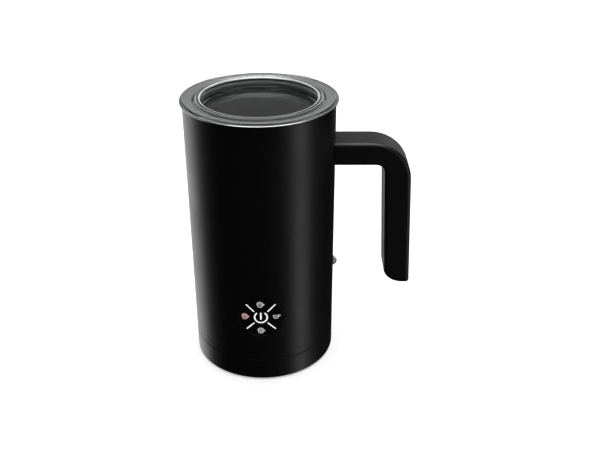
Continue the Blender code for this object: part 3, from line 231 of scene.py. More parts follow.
def buildTurning():
    # marks left by turning or spinning round the upright axis: noise read by distance and height only
    group, start, end = startGroup(
        "turningMarks",
        [("Pitch", "Float", 900.0), ("Strength", "Float", 0.2), ("Smoothest", "Float", 0.15),
         ("Roughest", "Float", 0.35), ("Smear", "Float", 6.0)],
        [("Fac", "Float"), ("Roughness", "Float"), ("Normal", "Vector")])
    place = addNode(group, "TexCoord").outputs["Object"]
    split = addNode(group, "SeparateXYZ", Vector=place)
    x, y, z = split.outputs
    distance = mathNode(group, "SQRT", mathNode(group, "ADD", mathNode(group, "MULTIPLY", x, x),
                                                 mathNode(group, "MULTIPLY", y, y)))
    turn = mathNode(group, "ARCTAN2", y, x)
    wide = mathNode(group, "MULTIPLY", distance, start.outputs["Pitch"])
    high = mathNode(group, "MULTIPLY", z, start.outputs["Pitch"])
    # the turn is read as a point on a circle, so the marks meet where the angle jumps
    cosine = mathNode(group, "MULTIPLY", mathNode(group, "COSINE", turn), start.outputs["Smear"])
    sine = mathNode(group, "MULTIPLY", mathNode(group, "SINE", turn), start.outputs["Smear"])
    spot = addNode(group, "CombineXYZ", X=mathNode(group, "ADD", wide, cosine),
                   Y=mathNode(group, "ADD", high, sine), Z=cosine)
    marks = addNode(group, "TexNoise", Vector=spot.outputs[0], Scale=1.0, Detail=3.0, Roughness=0.6)
    gloss = addNode(group, "MapRange", Value=marks.outputs["Fac"])
    gloss.inputs["From Min"].default_value = 0.3
    gloss.inputs["From Max"].default_value = 0.7
    group.links.new(start.outputs["Smoothest"], gloss.inputs["To Min"])
    group.links.new(start.outputs["Roughest"], gloss.inputs["To Max"])
    bump = addNode(group, "Bump", Strength=start.outputs["Strength"], Distance=0.00002,
                   Height=marks.outputs["Fac"])
    group.links.new(marks.outputs["Fac"], end.inputs["Fac"])
    group.links.new(gloss.outputs["Result"], end.inputs["Roughness"])
    group.links.new(bump.outputs["Normal"], end.inputs["Normal"])
    return group


def buildDust():
    # a little dust and handling: a paler colour where broad noise says so, stronger on faces that look up
    group, start, end = startGroup(
        "lightDust",
        [("Colour", "Color", (0.01, 0.01, 0.01, 1)), ("Dust", "Color", (0.3, 0.3, 0.29, 1)),
         ("Amount", "Float", 0.02), ("Scale", "Float", 60.0)],
        [("Colour", "Color"), ("Mask", "Float")])
    place = addNode(group, "TexCoord").outputs["Object"]
    cloud = addNode(group, "TexNoise", Vector=place, Scale=start.outputs["Scale"], Detail=5.0, Roughness=0.65)
    normal = addNode(group, "NewGeometry").outputs["Normal"]
    facing = addNode(group, "SeparateXYZ", Vector=normal).outputs["Z"]
    upward = mathNode(group, "MULTIPLY_ADD", facing, 0.35, 0.65)
    mask = mathNode(group, "MULTIPLY", mathNode(group, "MULTIPLY", cloud.outputs["Fac"], upward),
                    start.outputs["Amount"])
    mix = addNode(group, "Mix", {"data_type": "RGBA"})
    group.links.new(mask, mix.inputs[0])
    group.links.new(start.outputs["Colour"], mix.inputs[6])
    group.links.new(start.outputs["Dust"], mix.inputs[7])
    group.links.new(mix.outputs[2], end.inputs["Colour"])
    group.links.new(mask, end.inputs["Mask"])
    return group


def buildEdgeHighlight():
    # a painted highlight: a ring of light laid along a moulded edge, fading with distance from the ring's
    # radius
    group, start, end = startGroup(
        "edgeLight",
        [("Radius", "Float", 0.03), ("Width", "Float", 0.0005), ("Bottom", "Float", 0.0),
         ("Amount", "Float", 0.5)],
        [("Fac", "Float")])
    place = addNode(group, "TexCoord").outputs["Object"]
    x, y, z = addNode(group, "SeparateXYZ", Vector=place).outputs
    distance = mathNode(group, "SQRT", mathNode(group, "ADD", mathNode(group, "MULTIPLY", x, x),
                                                 mathNode(group, "MULTIPLY", y, y)))
    apart = mathNode(group, "ABSOLUTE", mathNode(group, "SUBTRACT", distance, start.outputs["Radius"]))
    ring = mathNode(group, "MAXIMUM", mathNode(
        group, "SUBTRACT", 1.0, mathNode(group, "DIVIDE", apart, start.outputs["Width"])), 0.0)
    high = mathNode(group, "GREATER_THAN", z, start.outputs["Bottom"])
    cloud = addNode(group, "TexNoise", Vector=place, Scale=90.0, Detail=2.0)
    uneven = mathNode(group, "MULTIPLY_ADD", cloud.outputs["Fac"], 0.9, 0.5)
    level = mathNode(group, "MULTIPLY", mathNode(group, "MULTIPLY", ring, high), start.outputs["Amount"])
    group.links.new(mathNode(group, "MULTIPLY", level, uneven), end.inputs["Fac"])
    return group


grainGroup = buildGrain()
turningGroup = buildTurning()
dustGroup = buildDust()
edgeHighlightGroup = buildEdgeHighlight()
print("shader groups built")


def startMaterial(name, **values):
    # a new material with the shader's own values set, returned with its tree and shader
    material = bpy.data.materials.new(name)
    material.use_nodes = True
    tree = material.node_tree
    shader = tree.nodes["Principled BSDF"]
    for key, value in values.items():
        shader.inputs[key.replace("_", " ")].default_value = value
    return material, tree, shader


def placeGroup(tree, group, **inputs):
    # a group in a material, with this material's own values
    node = tree.nodes.new("ShaderNodeGroup")
    node.node_tree = group
    for key, value in inputs.items():
        if isinstance(value, bpy.types.NodeSocket):
            tree.links.new(value, node.inputs[key])
        else:
            node.inputs[key].default_value = value
    return node


def grainyMaterial(name, colour, look, dust=None, **values):
    # a moulded, sprayed or rubber finish: grain for the surface and dust for the colour
    material, tree, shader = startMaterial(name, **values)
    grain = placeGroup(tree, grainGroup, **look)
    tree.links.new(grain.outputs["Roughness"], shader.inputs["Roughness"])
    tree.links.new(grain.outputs["Normal"], shader.inputs["Normal"])
    soft = placeGroup(tree, dustGroup, Colour=(*colour, 1), **(dust or {}))
    tree.links.new(soft.outputs["Colour"], shader.inputs["Base Color"])
    return material


def metalMaterial(name, colour, darker, look, **values):
    # turned or drawn metal: its marks shade the colour a little and vary the gloss
    material, tree, shader = startMaterial(name, Metallic=1.0, **values)
    marks = placeGroup(tree, turningGroup, **look)
    mix = addNode(tree, "Mix", {"data_type": "RGBA"})
    tree.links.new(marks.outputs["Fac"], mix.inputs[0])
    mix.inputs[6].default_value = (*darker, 1)
    mix.inputs[7].default_value = (*colour, 1)
    tree.links.new(mix.outputs[2], shader.inputs["Base Color"])
    tree.links.new(marks.outputs["Roughness"], shader.inputs["Roughness"])
    tree.links.new(marks.outputs["Normal"], shader.inputs["Normal"])
    return material


satinBlack = grainyMaterial(
    "satinBlack", (0.0010, 0.0010, 0.0010),
    {"Scale": 2600.0, "Depth": 0.000012, "Strength": 0.25, "Smoothest": 0.36, "Roughest": 0.41},
    {"Amount": 0.004})
gripBlack = grainyMaterial(
    "gripBlack", (0.0012, 0.0012, 0.0012),
    {"Scale": 3400.0, "Depth": 0.00003, "Strength": 0.35, "Smoothest": 0.42, "Roughest": 0.5},
    {"Amount": 0.004})
stripBlack = grainyMaterial(
    "stripBlack", (0.001, 0.001, 0.001),
    {"Scale": 2000.0, "Depth": 0.00001, "Strength": 0.2, "Smoothest": 0.6, "Roughest": 0.68},
    {"Amount": 0.003}, Specular_IOR_Level=0.1)
lensBlack = grainyMaterial(
    "lensBlack", (0.0008, 0.0008, 0.0009),
    {"Scale": 300.0, "Depth": 0.000002, "Strength": 0.04, "Smoothest": 0.05, "Roughest": 0.09},
    {"Amount": 0.006})
symbolWhite = grainyMaterial(
    "symbolWhite", (0.86, 0.86, 0.86),
    {"Scale": 5000.0, "Depth": 0.000005, "Strength": 0.1, "Smoothest": 0.4, "Roughest": 0.5},
    {"Amount": 0.02}, Emission_Color=(1, 1, 1, 1), Emission_Strength=0.32)
symbolPale = grainyMaterial(
    "symbolPale", (0.66, 0.66, 0.65),
    {"Scale": 5000.0, "Depth": 0.000005, "Strength": 0.1, "Smoothest": 0.4, "Roughest": 0.5},
    {"Amount": 0.02}, Emission_Color=(1, 1, 1, 1), Emission_Strength=0.1)
symbolLitLine = grainyMaterial(
    "symbolLitLine", (0.74, 0.46, 0.42),
    {"Scale": 5000.0, "Depth": 0.000005, "Strength": 0.1, "Smoothest": 0.4, "Roughest": 0.5},
    {"Amount": 0.02}, Emission_Color=(1.0, 0.5, 0.44, 1), Emission_Strength=0.14)
symbolGrey = grainyMaterial(
    "symbolGrey", (0.20, 0.20, 0.20),
    {"Scale": 5000.0, "Depth": 0.000005, "Strength": 0.1, "Smoothest": 0.4, "Roughest": 0.5},
    {"Amount": 0.02})
symbolLit = grainyMaterial(
    "symbolLit", (0.36, 0.17, 0.15),
    {"Scale": 5000.0, "Depth": 0.000005, "Strength": 0.1, "Smoothest": 0.4, "Roughest": 0.5},
    {"Amount": 0.02}, Emission_Color=(1.0, 0.36, 0.30, 1), Emission_Strength=0.06)
footRubber = grainyMaterial(
    "footRubber", (0.018, 0.018, 0.018),
    {"Scale": 1800.0, "Depth": 0.00006, "Strength": 0.5, "Smoothest": 0.7, "Roughest": 0.85},
    {"Amount": 0.16, "Scale": 90.0})
glandRubber = grainyMaterial(
    "glandRubber", (0.24, 0.24, 0.245),
    {"Scale": 2400.0, "Depth": 0.00003, "Strength": 0.4, "Smoothest": 0.45, "Roughest": 0.6},
    {"Amount": 0.08, "Scale": 120.0})
hubPlastic = grainyMaterial(
    "hubPlastic", (0.012, 0.012, 0.012),
    {"Scale": 3000.0, "Depth": 0.00002, "Strength": 0.25, "Smoothest": 0.3, "Roughest": 0.4},
    {"Amount": 0.02})
framePlastic = grainyMaterial(
    "framePlastic", (0.27, 0.27, 0.28),
    {"Scale": 2200.0, "Depth": 0.00003, "Strength": 0.3, "Smoothest": 0.45, "Roughest": 0.6},
    {"Amount": 0.12})
guideWhite = grainyMaterial(
    "guideWhite", (0.78, 0.78, 0.76),
    {"Scale": 1500.0, "Depth": 0.00002, "Strength": 0.2, "Smoothest": 0.4, "Roughest": 0.5},
    {"Amount": 0.05}, Subsurface_Weight=0.1, Subsurface_Radius=(0.002, 0.002, 0.002))
leadRed = grainyMaterial(
    "leadRed", (0.36, 0.015, 0.012),
    {"Scale": 1600.0, "Depth": 0.00002, "Strength": 0.2, "Smoothest": 0.3, "Roughest": 0.42},
    {"Amount": 0.05})
sealSilicone = grainyMaterial(
    "sealSilicone", (0.24, 0.25, 0.25),
    {"Scale": 1900.0, "Depth": 0.00001, "Strength": 0.2, "Smoothest": 0.14, "Roughest": 0.22},
    {"Amount": 0.02}, Transmission_Weight=0.6, IOR=1.41)
rimSteel = metalMaterial(
    "rimSteel", (0.70, 0.70, 0.69), (0.50, 0.50, 0.50),
    {"Pitch": 3200.0, "Strength": 0.03, "Smoothest": 0.20, "Roughest": 0.27, "Smear": 0.25})
wireSteel = metalMaterial(
    "wireSteel", (0.64, 0.64, 0.64), (0.48, 0.48, 0.49),
    {"Pitch": 1500.0, "Strength": 0.08, "Smoothest": 0.14, "Roughest": 0.26, "Smear": 8.0})
screwSteel = metalMaterial(
    "screwSteel", (0.55, 0.55, 0.56), (0.38, 0.38, 0.39),
    {"Pitch": 3000.0, "Strength": 0.2, "Smoothest": 0.25, "Roughest": 0.42, "Smear": 12.0})
motorSteel = metalMaterial(
    "motorSteel", (0.56, 0.57, 0.58), (0.40, 0.41, 0.42),
    {"Pitch": 1200.0, "Strength": 0.15, "Smoothest": 0.28, "Roughest": 0.42, "Smear": 3.0})
castAluminium = metalMaterial(
    "castAluminium", (0.62, 0.62, 0.62), (0.42, 0.42, 0.42),
    {"Pitch": 700.0, "Strength": 0.5, "Smoothest": 0.42, "Roughest": 0.6, "Smear": 40.0})
magnetNickel = metalMaterial(
    "magnetNickel", (0.58, 0.56, 0.53), (0.45, 0.43, 0.41),
    {"Pitch": 500.0, "Strength": 0.08, "Smoothest": 0.12, "Roughest": 0.24, "Smear": 60.0})


def makePotCoating():
    # a dark non-stick coating: pale flecks in grey, over the fine turning of the pot underneath
    material, tree, shader = startMaterial("potCoating", Specular_IOR_Level=0.5)
    place = addNode(tree, "TexCoord").outputs["Object"]
    fleck = addNode(tree, "TexVoronoi", {"feature": "F1"}, Vector=place, Scale=1500.0)
    mask = addNode(tree, "MapRange", {"clamp": True}, Value=fleck.outputs["Distance"])
    mask.inputs["From Min"].default_value = 0.10
    mask.inputs["From Max"].default_value = 0.24
    mask.inputs["To Min"].default_value = 1.0
    mask.inputs["To Max"].default_value = 0.0
    pick = addNode(tree, "SeparateColor", Color=fleck.outputs["Color"])
    rare = mathNode(tree, "GREATER_THAN", pick.outputs[0], 0.72)
    amount = mathNode(tree, "MULTIPLY", mathNode(tree, "MULTIPLY", mask.outputs["Result"], rare), 0.5)
    mix = addNode(tree, "Mix", {"data_type": "RGBA"})
    tree.links.new(amount, mix.inputs[0])
    mix.inputs[6].default_value = (0.013, 0.0135, 0.0135, 1)
    mix.inputs[7].default_value = (0.07, 0.07, 0.07, 1)
    tree.links.new(mix.outputs[2], shader.inputs["Base Color"])
    marks = placeGroup(tree, turningGroup, Pitch=420.0, Strength=0.06, Smoothest=0.5, Roughest=0.6, Smear=0.3)
    tree.links.new(marks.outputs["Roughness"], shader.inputs["Roughness"])
    tree.links.new(marks.outputs["Normal"], shader.inputs["Normal"])
    return material


# where and how strongly the two painted highlight rings are laid on the clear lid
lidHighlightLook = {
    "mouthHighlight": {"Radius": 38.7 * mm, "Width": 0.85 * mm, "Amount": 0.9},
    "wall": {"Radius": 41.2 * mm, "Width": 0.6 * mm, "Amount": 0.4},
    "deep": 1.1 * mm,  # how far below the lid's top the painted highlight rings reach
}


def makeLidClear(look):
    # clear moulded plastic with a faint ripple and two rings of painted highlight, matt white mixed in at the
    #  mouth and the wall; shadow rays pass through it, so the pot below isn't in the dark
    material, tree, shader = startMaterial(
        "lidClear", Base_Color=(0.95, 0.965, 0.96, 1), Transmission_Weight=1.0, IOR=1.2)
    grain = placeGroup(tree, grainGroup, Scale=120.0, Depth=0.00001, Strength=0.02, Smoothest=0.05,
                       Roughest=0.09)
    tree.links.new(grain.outputs["Roughness"], shader.inputs["Roughness"])
    tree.links.new(grain.outputs["Normal"], shader.inputs["Normal"])
    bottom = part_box("lid")[1].z - look["deep"]
    mouthHighlight = placeGroup(tree, edgeHighlightGroup, Bottom=bottom, **look["mouthHighlight"])
    wall = placeGroup(tree, edgeHighlightGroup, Bottom=bottom, **look["wall"])
    # painted highlight: a matt white shader mixed over the clear plastic along the two rings; the plastic
    # itself isn't white there
    paintedHighlight = addNode(tree, "BsdfDiffuse", Color=(0.86, 0.87, 0.87, 1))
    edges = addNode(tree, "MixShader", _0=mathNode(tree, "ADD", mouthHighlight.outputs["Fac"], wall.outputs["Fac"]))
    tree.links.new(shader.outputs[0], edges.inputs[1])
    tree.links.new(paintedHighlight.outputs[0], edges.inputs[2])
    clear = addNode(tree, "BsdfTransparent", Color=(0.90, 0.91, 0.91, 1))
    rays = addNode(tree, "LightPath")
    mix = addNode(tree, "MixShader", _0=rays.outputs["Is Shadow Ray"])
    tree.links.new(edges.outputs[0], mix.inputs[1])
    tree.links.new(clear.outputs[0], mix.inputs[2])
    tree.links.new(mix.outputs[0], tree.nodes["Material Output"].inputs["Surface"])
    return material


def makeBoardGreen():
    # solder mask over copper tracks, with tinned pads
    material, tree, shader = startMaterial("boardGreen")
    place = addNode(tree, "TexCoord").outputs["Object"]
    tracks = addNode(tree, "TexBrick", Vector=place, Scale=260.0, Mortar_Size=0.035)
    tracks.inputs["Color1"].default_value = (0.012, 0.10, 0.032, 1)
    tracks.inputs["Color2"].default_value = (0.016, 0.12, 0.04, 1)
    tracks.inputs["Mortar"].default_value = (0.05, 0.22, 0.07, 1)
    pads = addNode(tree, "TexVoronoi", Vector=place, Scale=420.0)
    pad = mathNode(tree, "LESS_THAN", pads.outputs["Distance"], 0.16)
    mix = addNode(tree, "Mix", {"data_type": "RGBA"})
    tree.links.new(pad, mix.inputs[0])
    tree.links.new(tracks.outputs["Color"], mix.inputs[6])
    mix.inputs[7].default_value = (0.55, 0.55, 0.56, 1)
    tree.links.new(mix.outputs[2], shader.inputs["Base Color"])
    tree.links.new(pad, shader.inputs["Metallic"])
    grain = placeGroup(tree, grainGroup, Scale=900.0, Depth=0.00002, Strength=0.2, Smoothest=0.3,
                       Roughest=0.42)
    tree.links.new(grain.outputs["Roughness"], shader.inputs["Roughness"])
    tree.links.new(grain.outputs["Normal"], shader.inputs["Normal"])
    return material


potCoating = makePotCoating()
lidClear = makeLidClear(lidHighlightLook)
boardGreen = makeBoardGreen()
print("finishes made")


shellLow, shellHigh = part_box("housing_shell")
coverLow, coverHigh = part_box("base_cover")
lensLow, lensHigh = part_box("panel_lens")
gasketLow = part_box("pot_gasket")[0]
bodyRadius = shellHigh.x
panelHeight = (lensLow.z + lensHigh.z) / 2

shellLook = {
    "wall": 1.5 * mm,
    "lip": 0.6 * mm,  # thin part of the wall outside the pot's flange
    "gap": 0.3 * mm,
    "edge": 0.35 * mm,  # rounding at the seam
    "columns": 240,
    "reach": 14,  # columns of grid on each side of the panel that make room for it
    "windowGap": 0.28 * mm,  # round the panel
    "windowEdge": 0.3 * mm,
}


def bodyWrap(s, z, depth):
    # lays a flat drawing (s across, z up) on the front of the body, depth under its surface
    turn = -math.pi / 2 + s / bodyRadius
    r = bodyRadius - depth
    return np.stack(np.broadcast_arrays(r * np.cos(turn), r * np.sin(turn), z), -1)


def buildBodyShell(look):
    # a closed band of profile points carried round the axis; the cells in front of the panel give way to
    # rings that turn from a square into the window's circle and run through the wall
    columns, reach = look["columns"], look["reach"]
    side = reach * 2 * math.pi / columns * bodyRadius
    window = np.linspace(panelHeight - side, panelHeight + side, 2 * reach + 1)
    e, wall = look["edge"], look["wall"]
    quarter = np.linspace(0, math.pi / 2, 6)
    low, high = shellLow.z, shellHigh.z
    # down the outside's foot, up the outside, over the top and back down the inside
    foot = np.stack([e * (1 - np.sin(quarter)), low + e * (1 - np.cos(quarter))], 1)
    outside = np.concatenate([[low + e + 0.3 * mm, low + 4 * mm], window,
                              [high - 30 * mm, high - 1 * mm, high]])
    seat = gasketLow.z - look["gap"]
    inside = np.concatenate([[seat, high - 30 * mm], window[::-1], [low + 4 * mm, low]])
    depth = np.concatenate([foot[:, 0], 0 * outside, [look["lip"]] * 2, 0 * inside + wall])
    height = np.concatenate([foot[:, 1], outside, [high, seat], inside])
    turn = -math.pi / 2 + 2 * math.pi * np.arange(columns) / columns
    r = (bodyRadius - depth)[:, None]
    points = np.stack([r * np.cos(turn), r * np.sin(turn), height[:, None] + 0 * turn], -1)
    faces = gridFaces(len(height), columns, True, True)
    row, column = faces[:, 0] // columns, faces[:, 0] % columns
    fromOut = len(foot) + 2
    fromIn = len(foot) + len(outside) + 4
    near = (column < reach) | (column >= columns - reach)
    inWindow = (row >= fromOut) & (row < fromOut + 2 * reach)
    inWindow |= (row >= fromIn) & (row < fromIn + 2 * reach)
    faces = faces[~(near & inWindow)]
    # the square's border, once round
    steps = np.linspace(-side, side, 2 * reach + 1)[:-1]
    full = np.full(2 * reach, side)
    borderS = np.concatenate([steps, full, -steps, -full])
    borderZ = np.concatenate([-full, steps, full, -steps])
    around = np.arctan2(borderZ, borderS)
    hole = lensHigh.x + look["windowGap"]
    rounding = look["windowEdge"]
    blend = np.linspace(0, 1, 9)[:, None]
    outer = hole + rounding + 0.2 * mm
    ringS = (1 - blend) * borderS + blend * outer * np.cos(around)
    ringZ = (1 - blend) * borderZ + blend * outer * np.sin(around)
    bend = np.linspace(0, math.pi / 2, 6)[:, None]
    bendR = hole + rounding * (1 - np.sin(bend))
    lip = (bendR * np.cos(around), bendR * np.sin(around), rounding * (1 - np.cos(bend)) + 0 * around)
    back = (hole * np.cos(around)[None], hole * np.sin(around)[None], np.full((1, len(around)), wall))
    s = np.concatenate([ringS, lip[0], back[0], ringS[::-1]])
    z = np.concatenate([ringZ, lip[1], back[1], ringZ[::-1]])
    d = np.concatenate([0 * ringS, lip[2], back[2], 0 * ringS + wall])
    rings = bodyWrap(s, panelHeight + z, d)
    ringFaces = gridFaces(len(s), len(around), False, True)
    return joinGrids([(points, faces), (rings, ringFaces)])


points, faces = buildBodyShell(shellLook)
makePiece("bodyShell", points, faces, satinBlack, "jug", ["housing_shell"])

coverLook = {"bottomEdge": 0.6 * mm, "seamEdge": 0.35 * mm, "wall": 2.0 * mm}


def buildBaseCover(look):
    # a shallow cup: outside wall, rounded bottom edge, a recess for the foot pad, a floor and a spigot inside
    r, w = bodyRadius, look["wall"]
    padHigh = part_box("foot_pad")[1]
    top = shellLow.z - 0.3 * mm
    low, recess = coverLow.z, padHigh.z + 0.3 * mm
    spigot = r - 1.8 * mm
    return softOutline([
        (0, recess, 0), (padHigh.x + 0.3 * mm, recess, 0.2 * mm), (padHigh.x + 0.3 * mm, low, 0.3 * mm),
        (r, low, look["bottomEdge"]), (r, top, look["seamEdge"]), (spigot, top, 0.1 * mm),
        (spigot, coverHigh.z, 0.2 * mm), (spigot - w + 0.4 * mm, coverHigh.z, 0.2 * mm),
        (spigot - w + 0.4 * mm, recess + 2.2 * mm, 1.0 * mm), (0, recess + 2.2 * mm, 0)], 6)


points, faces = turnedGrid(buildBaseCover(coverLook), False, 240)
makePiece("baseCover", points, faces, satinBlack, "jug", ["base_cover"])

footLook = {"ribs": 3, "ribWidth": 1.2 * mm, "groove": 0.5 * mm}


def buildFootPad(look):
    # a disc with shallow rings cut in its underside
    low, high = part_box("foot_pad")
    r = high.x
    line = [(0, high.z, 0), (r, high.z, 0.2 * mm), (r, low.z, 0.4 * mm)]
    for k in range(look["ribs"]):
        start = r - (3.5 + 4.0 * k) * mm
        line += [(start, low.z, 0.1 * mm), (start, low.z + look["groove"], 0.1 * mm),
                 (start - look["ribWidth"], low.z + look["groove"], 0.1 * mm),
                 (start - look["ribWidth"], low.z, 0.1 * mm)]
    return softOutline([*line, (0, low.z, 0)], 3)


points, faces = turnedGrid(buildFootPad(footLook), False, 192)
makePiece("footPad", points, faces, footRubber, "jug", ["foot_pad"])
print("body, cover and foot made")


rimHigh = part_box("rim_ring")[1]
potLow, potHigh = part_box("milk_pot")
potRadius = rimHigh.x - 8.3 * mm
rimLook = {"sheet": 0.7 * mm, "flare": 0.8 * mm, "slope": 1.6 * mm}


def buildRim(look):
    # a flat ledge whose outside edge flares up and out over the body
    r, top, t = rimHigh.x, rimHigh.z, look["sheet"]
    ledge, start = top - look["flare"], r - look["slope"] - 0.3 * mm
    return softOutline([
        (potRadius, ledge, 0.3 * mm), (start, ledge, 0.6 * mm), (r - 0.35 * mm, top, 0.25 * mm),
        (r, top - 0.3 * mm, 0.2 * mm), (r - 0.2 * mm, top - 0.65 * mm, 0.15 * mm),
        (start + 0.4 * mm, ledge - t, 0.7 * mm), (potRadius, ledge - t, 0.3 * mm)], 8)


points, faces = turnedGrid(buildRim(rimLook), True, 256)
makePiece("steelRim", points, faces, rimSteel, "jug", ["rim_ring"])

potLook = {"wall": 0.8 * mm, "floor": 1.0 * mm, "corner": 6.0 * mm}


def buildPot(look):
    # a deep drawn pot: floor, round corner, wall, flange, and the same outside
    r, w = potRadius, look["wall"]
    floor = potLow.z + look["floor"]
    top = potHigh.z
    return softOutline([
        (0, floor, 0), (r, floor, look["corner"]), (r, top, 0.4 * mm), (potHigh.x, top, 0.2 * mm),
        (potHigh.x, top - w, 0.2 * mm), (r + w, top - w, 0.5 * mm), (r + w, potLow.z, look["corner"] + w),
        (0, potLow.z, 0)], 8)


points, faces = turnedGrid(buildPot(potLook), False, 192)
makePiece("milkPot", points, faces, potCoating, "jug", ["milk_pot"])


lidLow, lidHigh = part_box("lid")
sealLow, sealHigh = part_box("lid_seal")
lidLook = {
    "flange": 1.5 * mm,
    "wall": 1.6 * mm,
    "wellRadius": 38.3 * mm,
    "wellDepth": 7.1 * mm,
    "mouthEdge": 0.7 * mm,
    "floorEdge": 2.2 * mm,
    "rib": 1.0 * mm,
}


def buildLid(look):
    # a flange on the rim and a finger well, with two ribs outside the well that hold the seal
    top, base = lidHigh.z, lidHigh.z - look["flange"]
    r, well = lidHigh.x, look["wellRadius"]
    out = well + look["wall"]
    rib = out + look["rib"]
    floor = top - look["wellDepth"]
    low = lidLow.z
    return softOutline([
        (0, floor, 0), (well - 0.6 * mm, floor, look["floorEdge"]), (well, top, look["mouthEdge"]),
        (r, top, 0.6 * mm), (r, base, 0.25 * mm), (out, base, 0.5 * mm),
        (out, sealHigh.z + 1.2 * mm, 0.3 * mm), (rib, sealHigh.z + 0.8 * mm, 0.2 * mm),
        (rib, sealHigh.z + 0.3 * mm, 0.2 * mm), (out, sealHigh.z + 0.3 * mm, 0.15 * mm),
        (out, sealLow.z - 0.3 * mm, 0.15 * mm), (rib, sealLow.z - 0.3 * mm, 0.2 * mm),
        (rib, sealLow.z - 0.7 * mm, 0.2 * mm), (out - 0.8 * mm, low, 0.3 * mm), (0, low, 0)], 6, 0.4 * mm)


points, faces = turnedGrid(buildLid(lidLook), False, 256)
makePiece("clearLid", points, faces, lidClear, "lid", ["lid"])


def buildSeal():
    # a ring with two soft lips that lean up
    inner = sealLook["inner"]
    root, lip = inner + 1.1 * mm, sealHigh.x
    low, step = sealLow.z, (sealHigh.z - sealLow.z) / 4
    return softOutline([
        (inner, low, 0.2 * mm), (root, low, 0.2 * mm), (lip, low + step * 0.9, 0.12 * mm),
        (lip, low + step * 1.25, 0.12 * mm), (root, low + step * 1.2, 0.25 * mm),
        (root, low + step * 2.2, 0.25 * mm), (lip, low + step * 3.1, 0.12 * mm),
        (lip, low + step * 3.45, 0.12 * mm), (root, low + step * 3.5, 0.25 * mm),
        (root, low + step * 4, 0.2 * mm), (inner, low + step * 4, 0.2 * mm)], 4, 0.1 * mm)


sealLook = {"inner": 40.2 * mm}
points, faces = turnedGrid(buildSeal(), True, 224)
makePiece("lidSeal", points, faces, sealSilicone, "lid", ["lid_seal"])
print("rim, pot and lid made")


handleLow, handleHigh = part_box("handle_shell")
handleLook = {
    "root": 48.7 * mm,  # inside the body's wall
    "arm": 15.8 * mm,
    "gripInner": 82.0 * mm,
    "gripOuter": 100.13 * mm,
    "splay": 0.043,
    "outerCorner": 27.0 * mm,
    "innerCorner": 5.5 * mm,
    "endOuter": 2.2 * mm,
    "endAcross": 13.0 * mm,  # the inner side of the free end is a quarter of an ellipse
    "endUp": 10.5 * mm,
    "edge": 2.8 * mm,
    "stripWidth": 15.8 * mm,
    "stripProud": 0.05 * mm,
}


def handleX(start, z, look):
    # the grip leans outwards below the arm
    return start + look["splay"] * (handleHigh.z - look["arm"] - z)


def buildHandle(look):
    # the flat outline carried across the width; it shrinks along a quarter circle at both faces
    top, low = handleHigh.z, handleLow.z
    under = top - look["arm"]
    inner, outer = look["gripInner"], look["gripOuter"]
    root = look["root"] - 2 * look["edge"]
    t = np.radians(np.linspace(8, 82, 8))
    endX = look["endAcross"] * (1 - np.sin(t))
    endZ = low + look["endUp"] * (1 - np.cos(t))
    end = [(handleX(inner, z, look) + x, z, 1.0 * mm) for x, z in zip(endX, endZ)]
    outline = softOutline([
        (root, top, 0.05 * mm), (handleX(outer, top, look), top, look["outerCorner"]),
        (handleX(outer, low, look), low, look["endOuter"]), *end,
        (inner, under, look["innerCorner"]), (root, under, 0.05 * mm)], 12, 0.8 * mm)
    along = unit(np.roll(outline, -1, 0) - np.roll(outline, 1, 0))
    inward = np.stack([along[:, 1], -along[:, 0]], 1)
    half, e = handleHigh.y, look["edge"]
    bend = np.linspace(0, math.pi / 2, 9)
    shrink = np.concatenate([e * (1 - np.sin(bend)), [0, 0], e * (1 - np.sin(bend[::-1]))])
    across = np.concatenate([-half + e * (1 - np.cos(bend)), [-half + e + 0.5 * mm, half - e - 0.5 * mm],
                             half - e * (1 - np.cos(bend[::-1]))])
    shrink = np.concatenate([[e + 0.35 * mm], shrink, [e + 0.35 * mm]])
    across = np.concatenate([[-half], across, [half]])
    flat = outline[None] + shrink[:, None, None] * inward[None]
    # points at the root meet in two corners that shrink with the rest, so the outline never folds back
    atRoot = outline[:, 0] < look["root"]
    flat[:, atRoot, 1] = np.clip(flat[:, atRoot, 1], under + shrink[:, None], top - shrink[:, None])
    flat[..., 0] = np.maximum(flat[..., 0], look["root"])
    points = np.stack([flat[..., 0], across[:, None] + 0 * flat[..., 0], flat[..., 1]], -1)
    faces = gridFaces(len(across), len(outline), False, True).tolist()
    count = len(outline)
    faces.append(list(range(count)))
    faces.append([(len(across) - 1) * count + k for k in range(count)][::-1])
    return points, faces


points, faces = buildHandle(handleLook)
makePiece("handleBody", points, faces, gripBlack, "jug", ["handle_shell"])


def buildStrip(look):
    # a flat band that follows the inner side from the arm round the corner and down the grip
    under = handleHigh.z - look["arm"]
    inner = look["gripInner"]
    low = handleLow.z + look["endUp"] + 1.4 * mm
    path = openOutline([(66 * mm, under, 0.01 * mm), (inner, under, look["innerCorner"]),
                        (handleX(inner, low, look), low, 0.01 * mm)], 12, 1.0 * mm)
    path = path[np.concatenate([[True], np.linalg.norm(np.diff(path, axis=0), axis=1) > 1e-5])]
    line = np.stack([path[:, 0], 0 * path[:, 0], path[:, 1]], 1)
    w, up = look["stripWidth"] / 2, look["stripProud"]
    section = softOutline([(-w, -1.2 * mm, 0.1 * mm), (w, -1.2 * mm, 0.1 * mm), (w, up, 0.22 * mm),
                           (-w, up, 0.22 * mm)], 4, 0.2 * mm)
    along = unit(np.gradient(line, axis=0))
    outward = np.stack([along[:, 2], 0 * along[:, 0], -along[:, 0]], 1)
    return sweepGrid(line, outward, section)


points, faces = buildStrip(handleLook)
makePiece("handleStrip", points, faces, stripBlack, "jug", ["handle_cover"])
print("handle made")


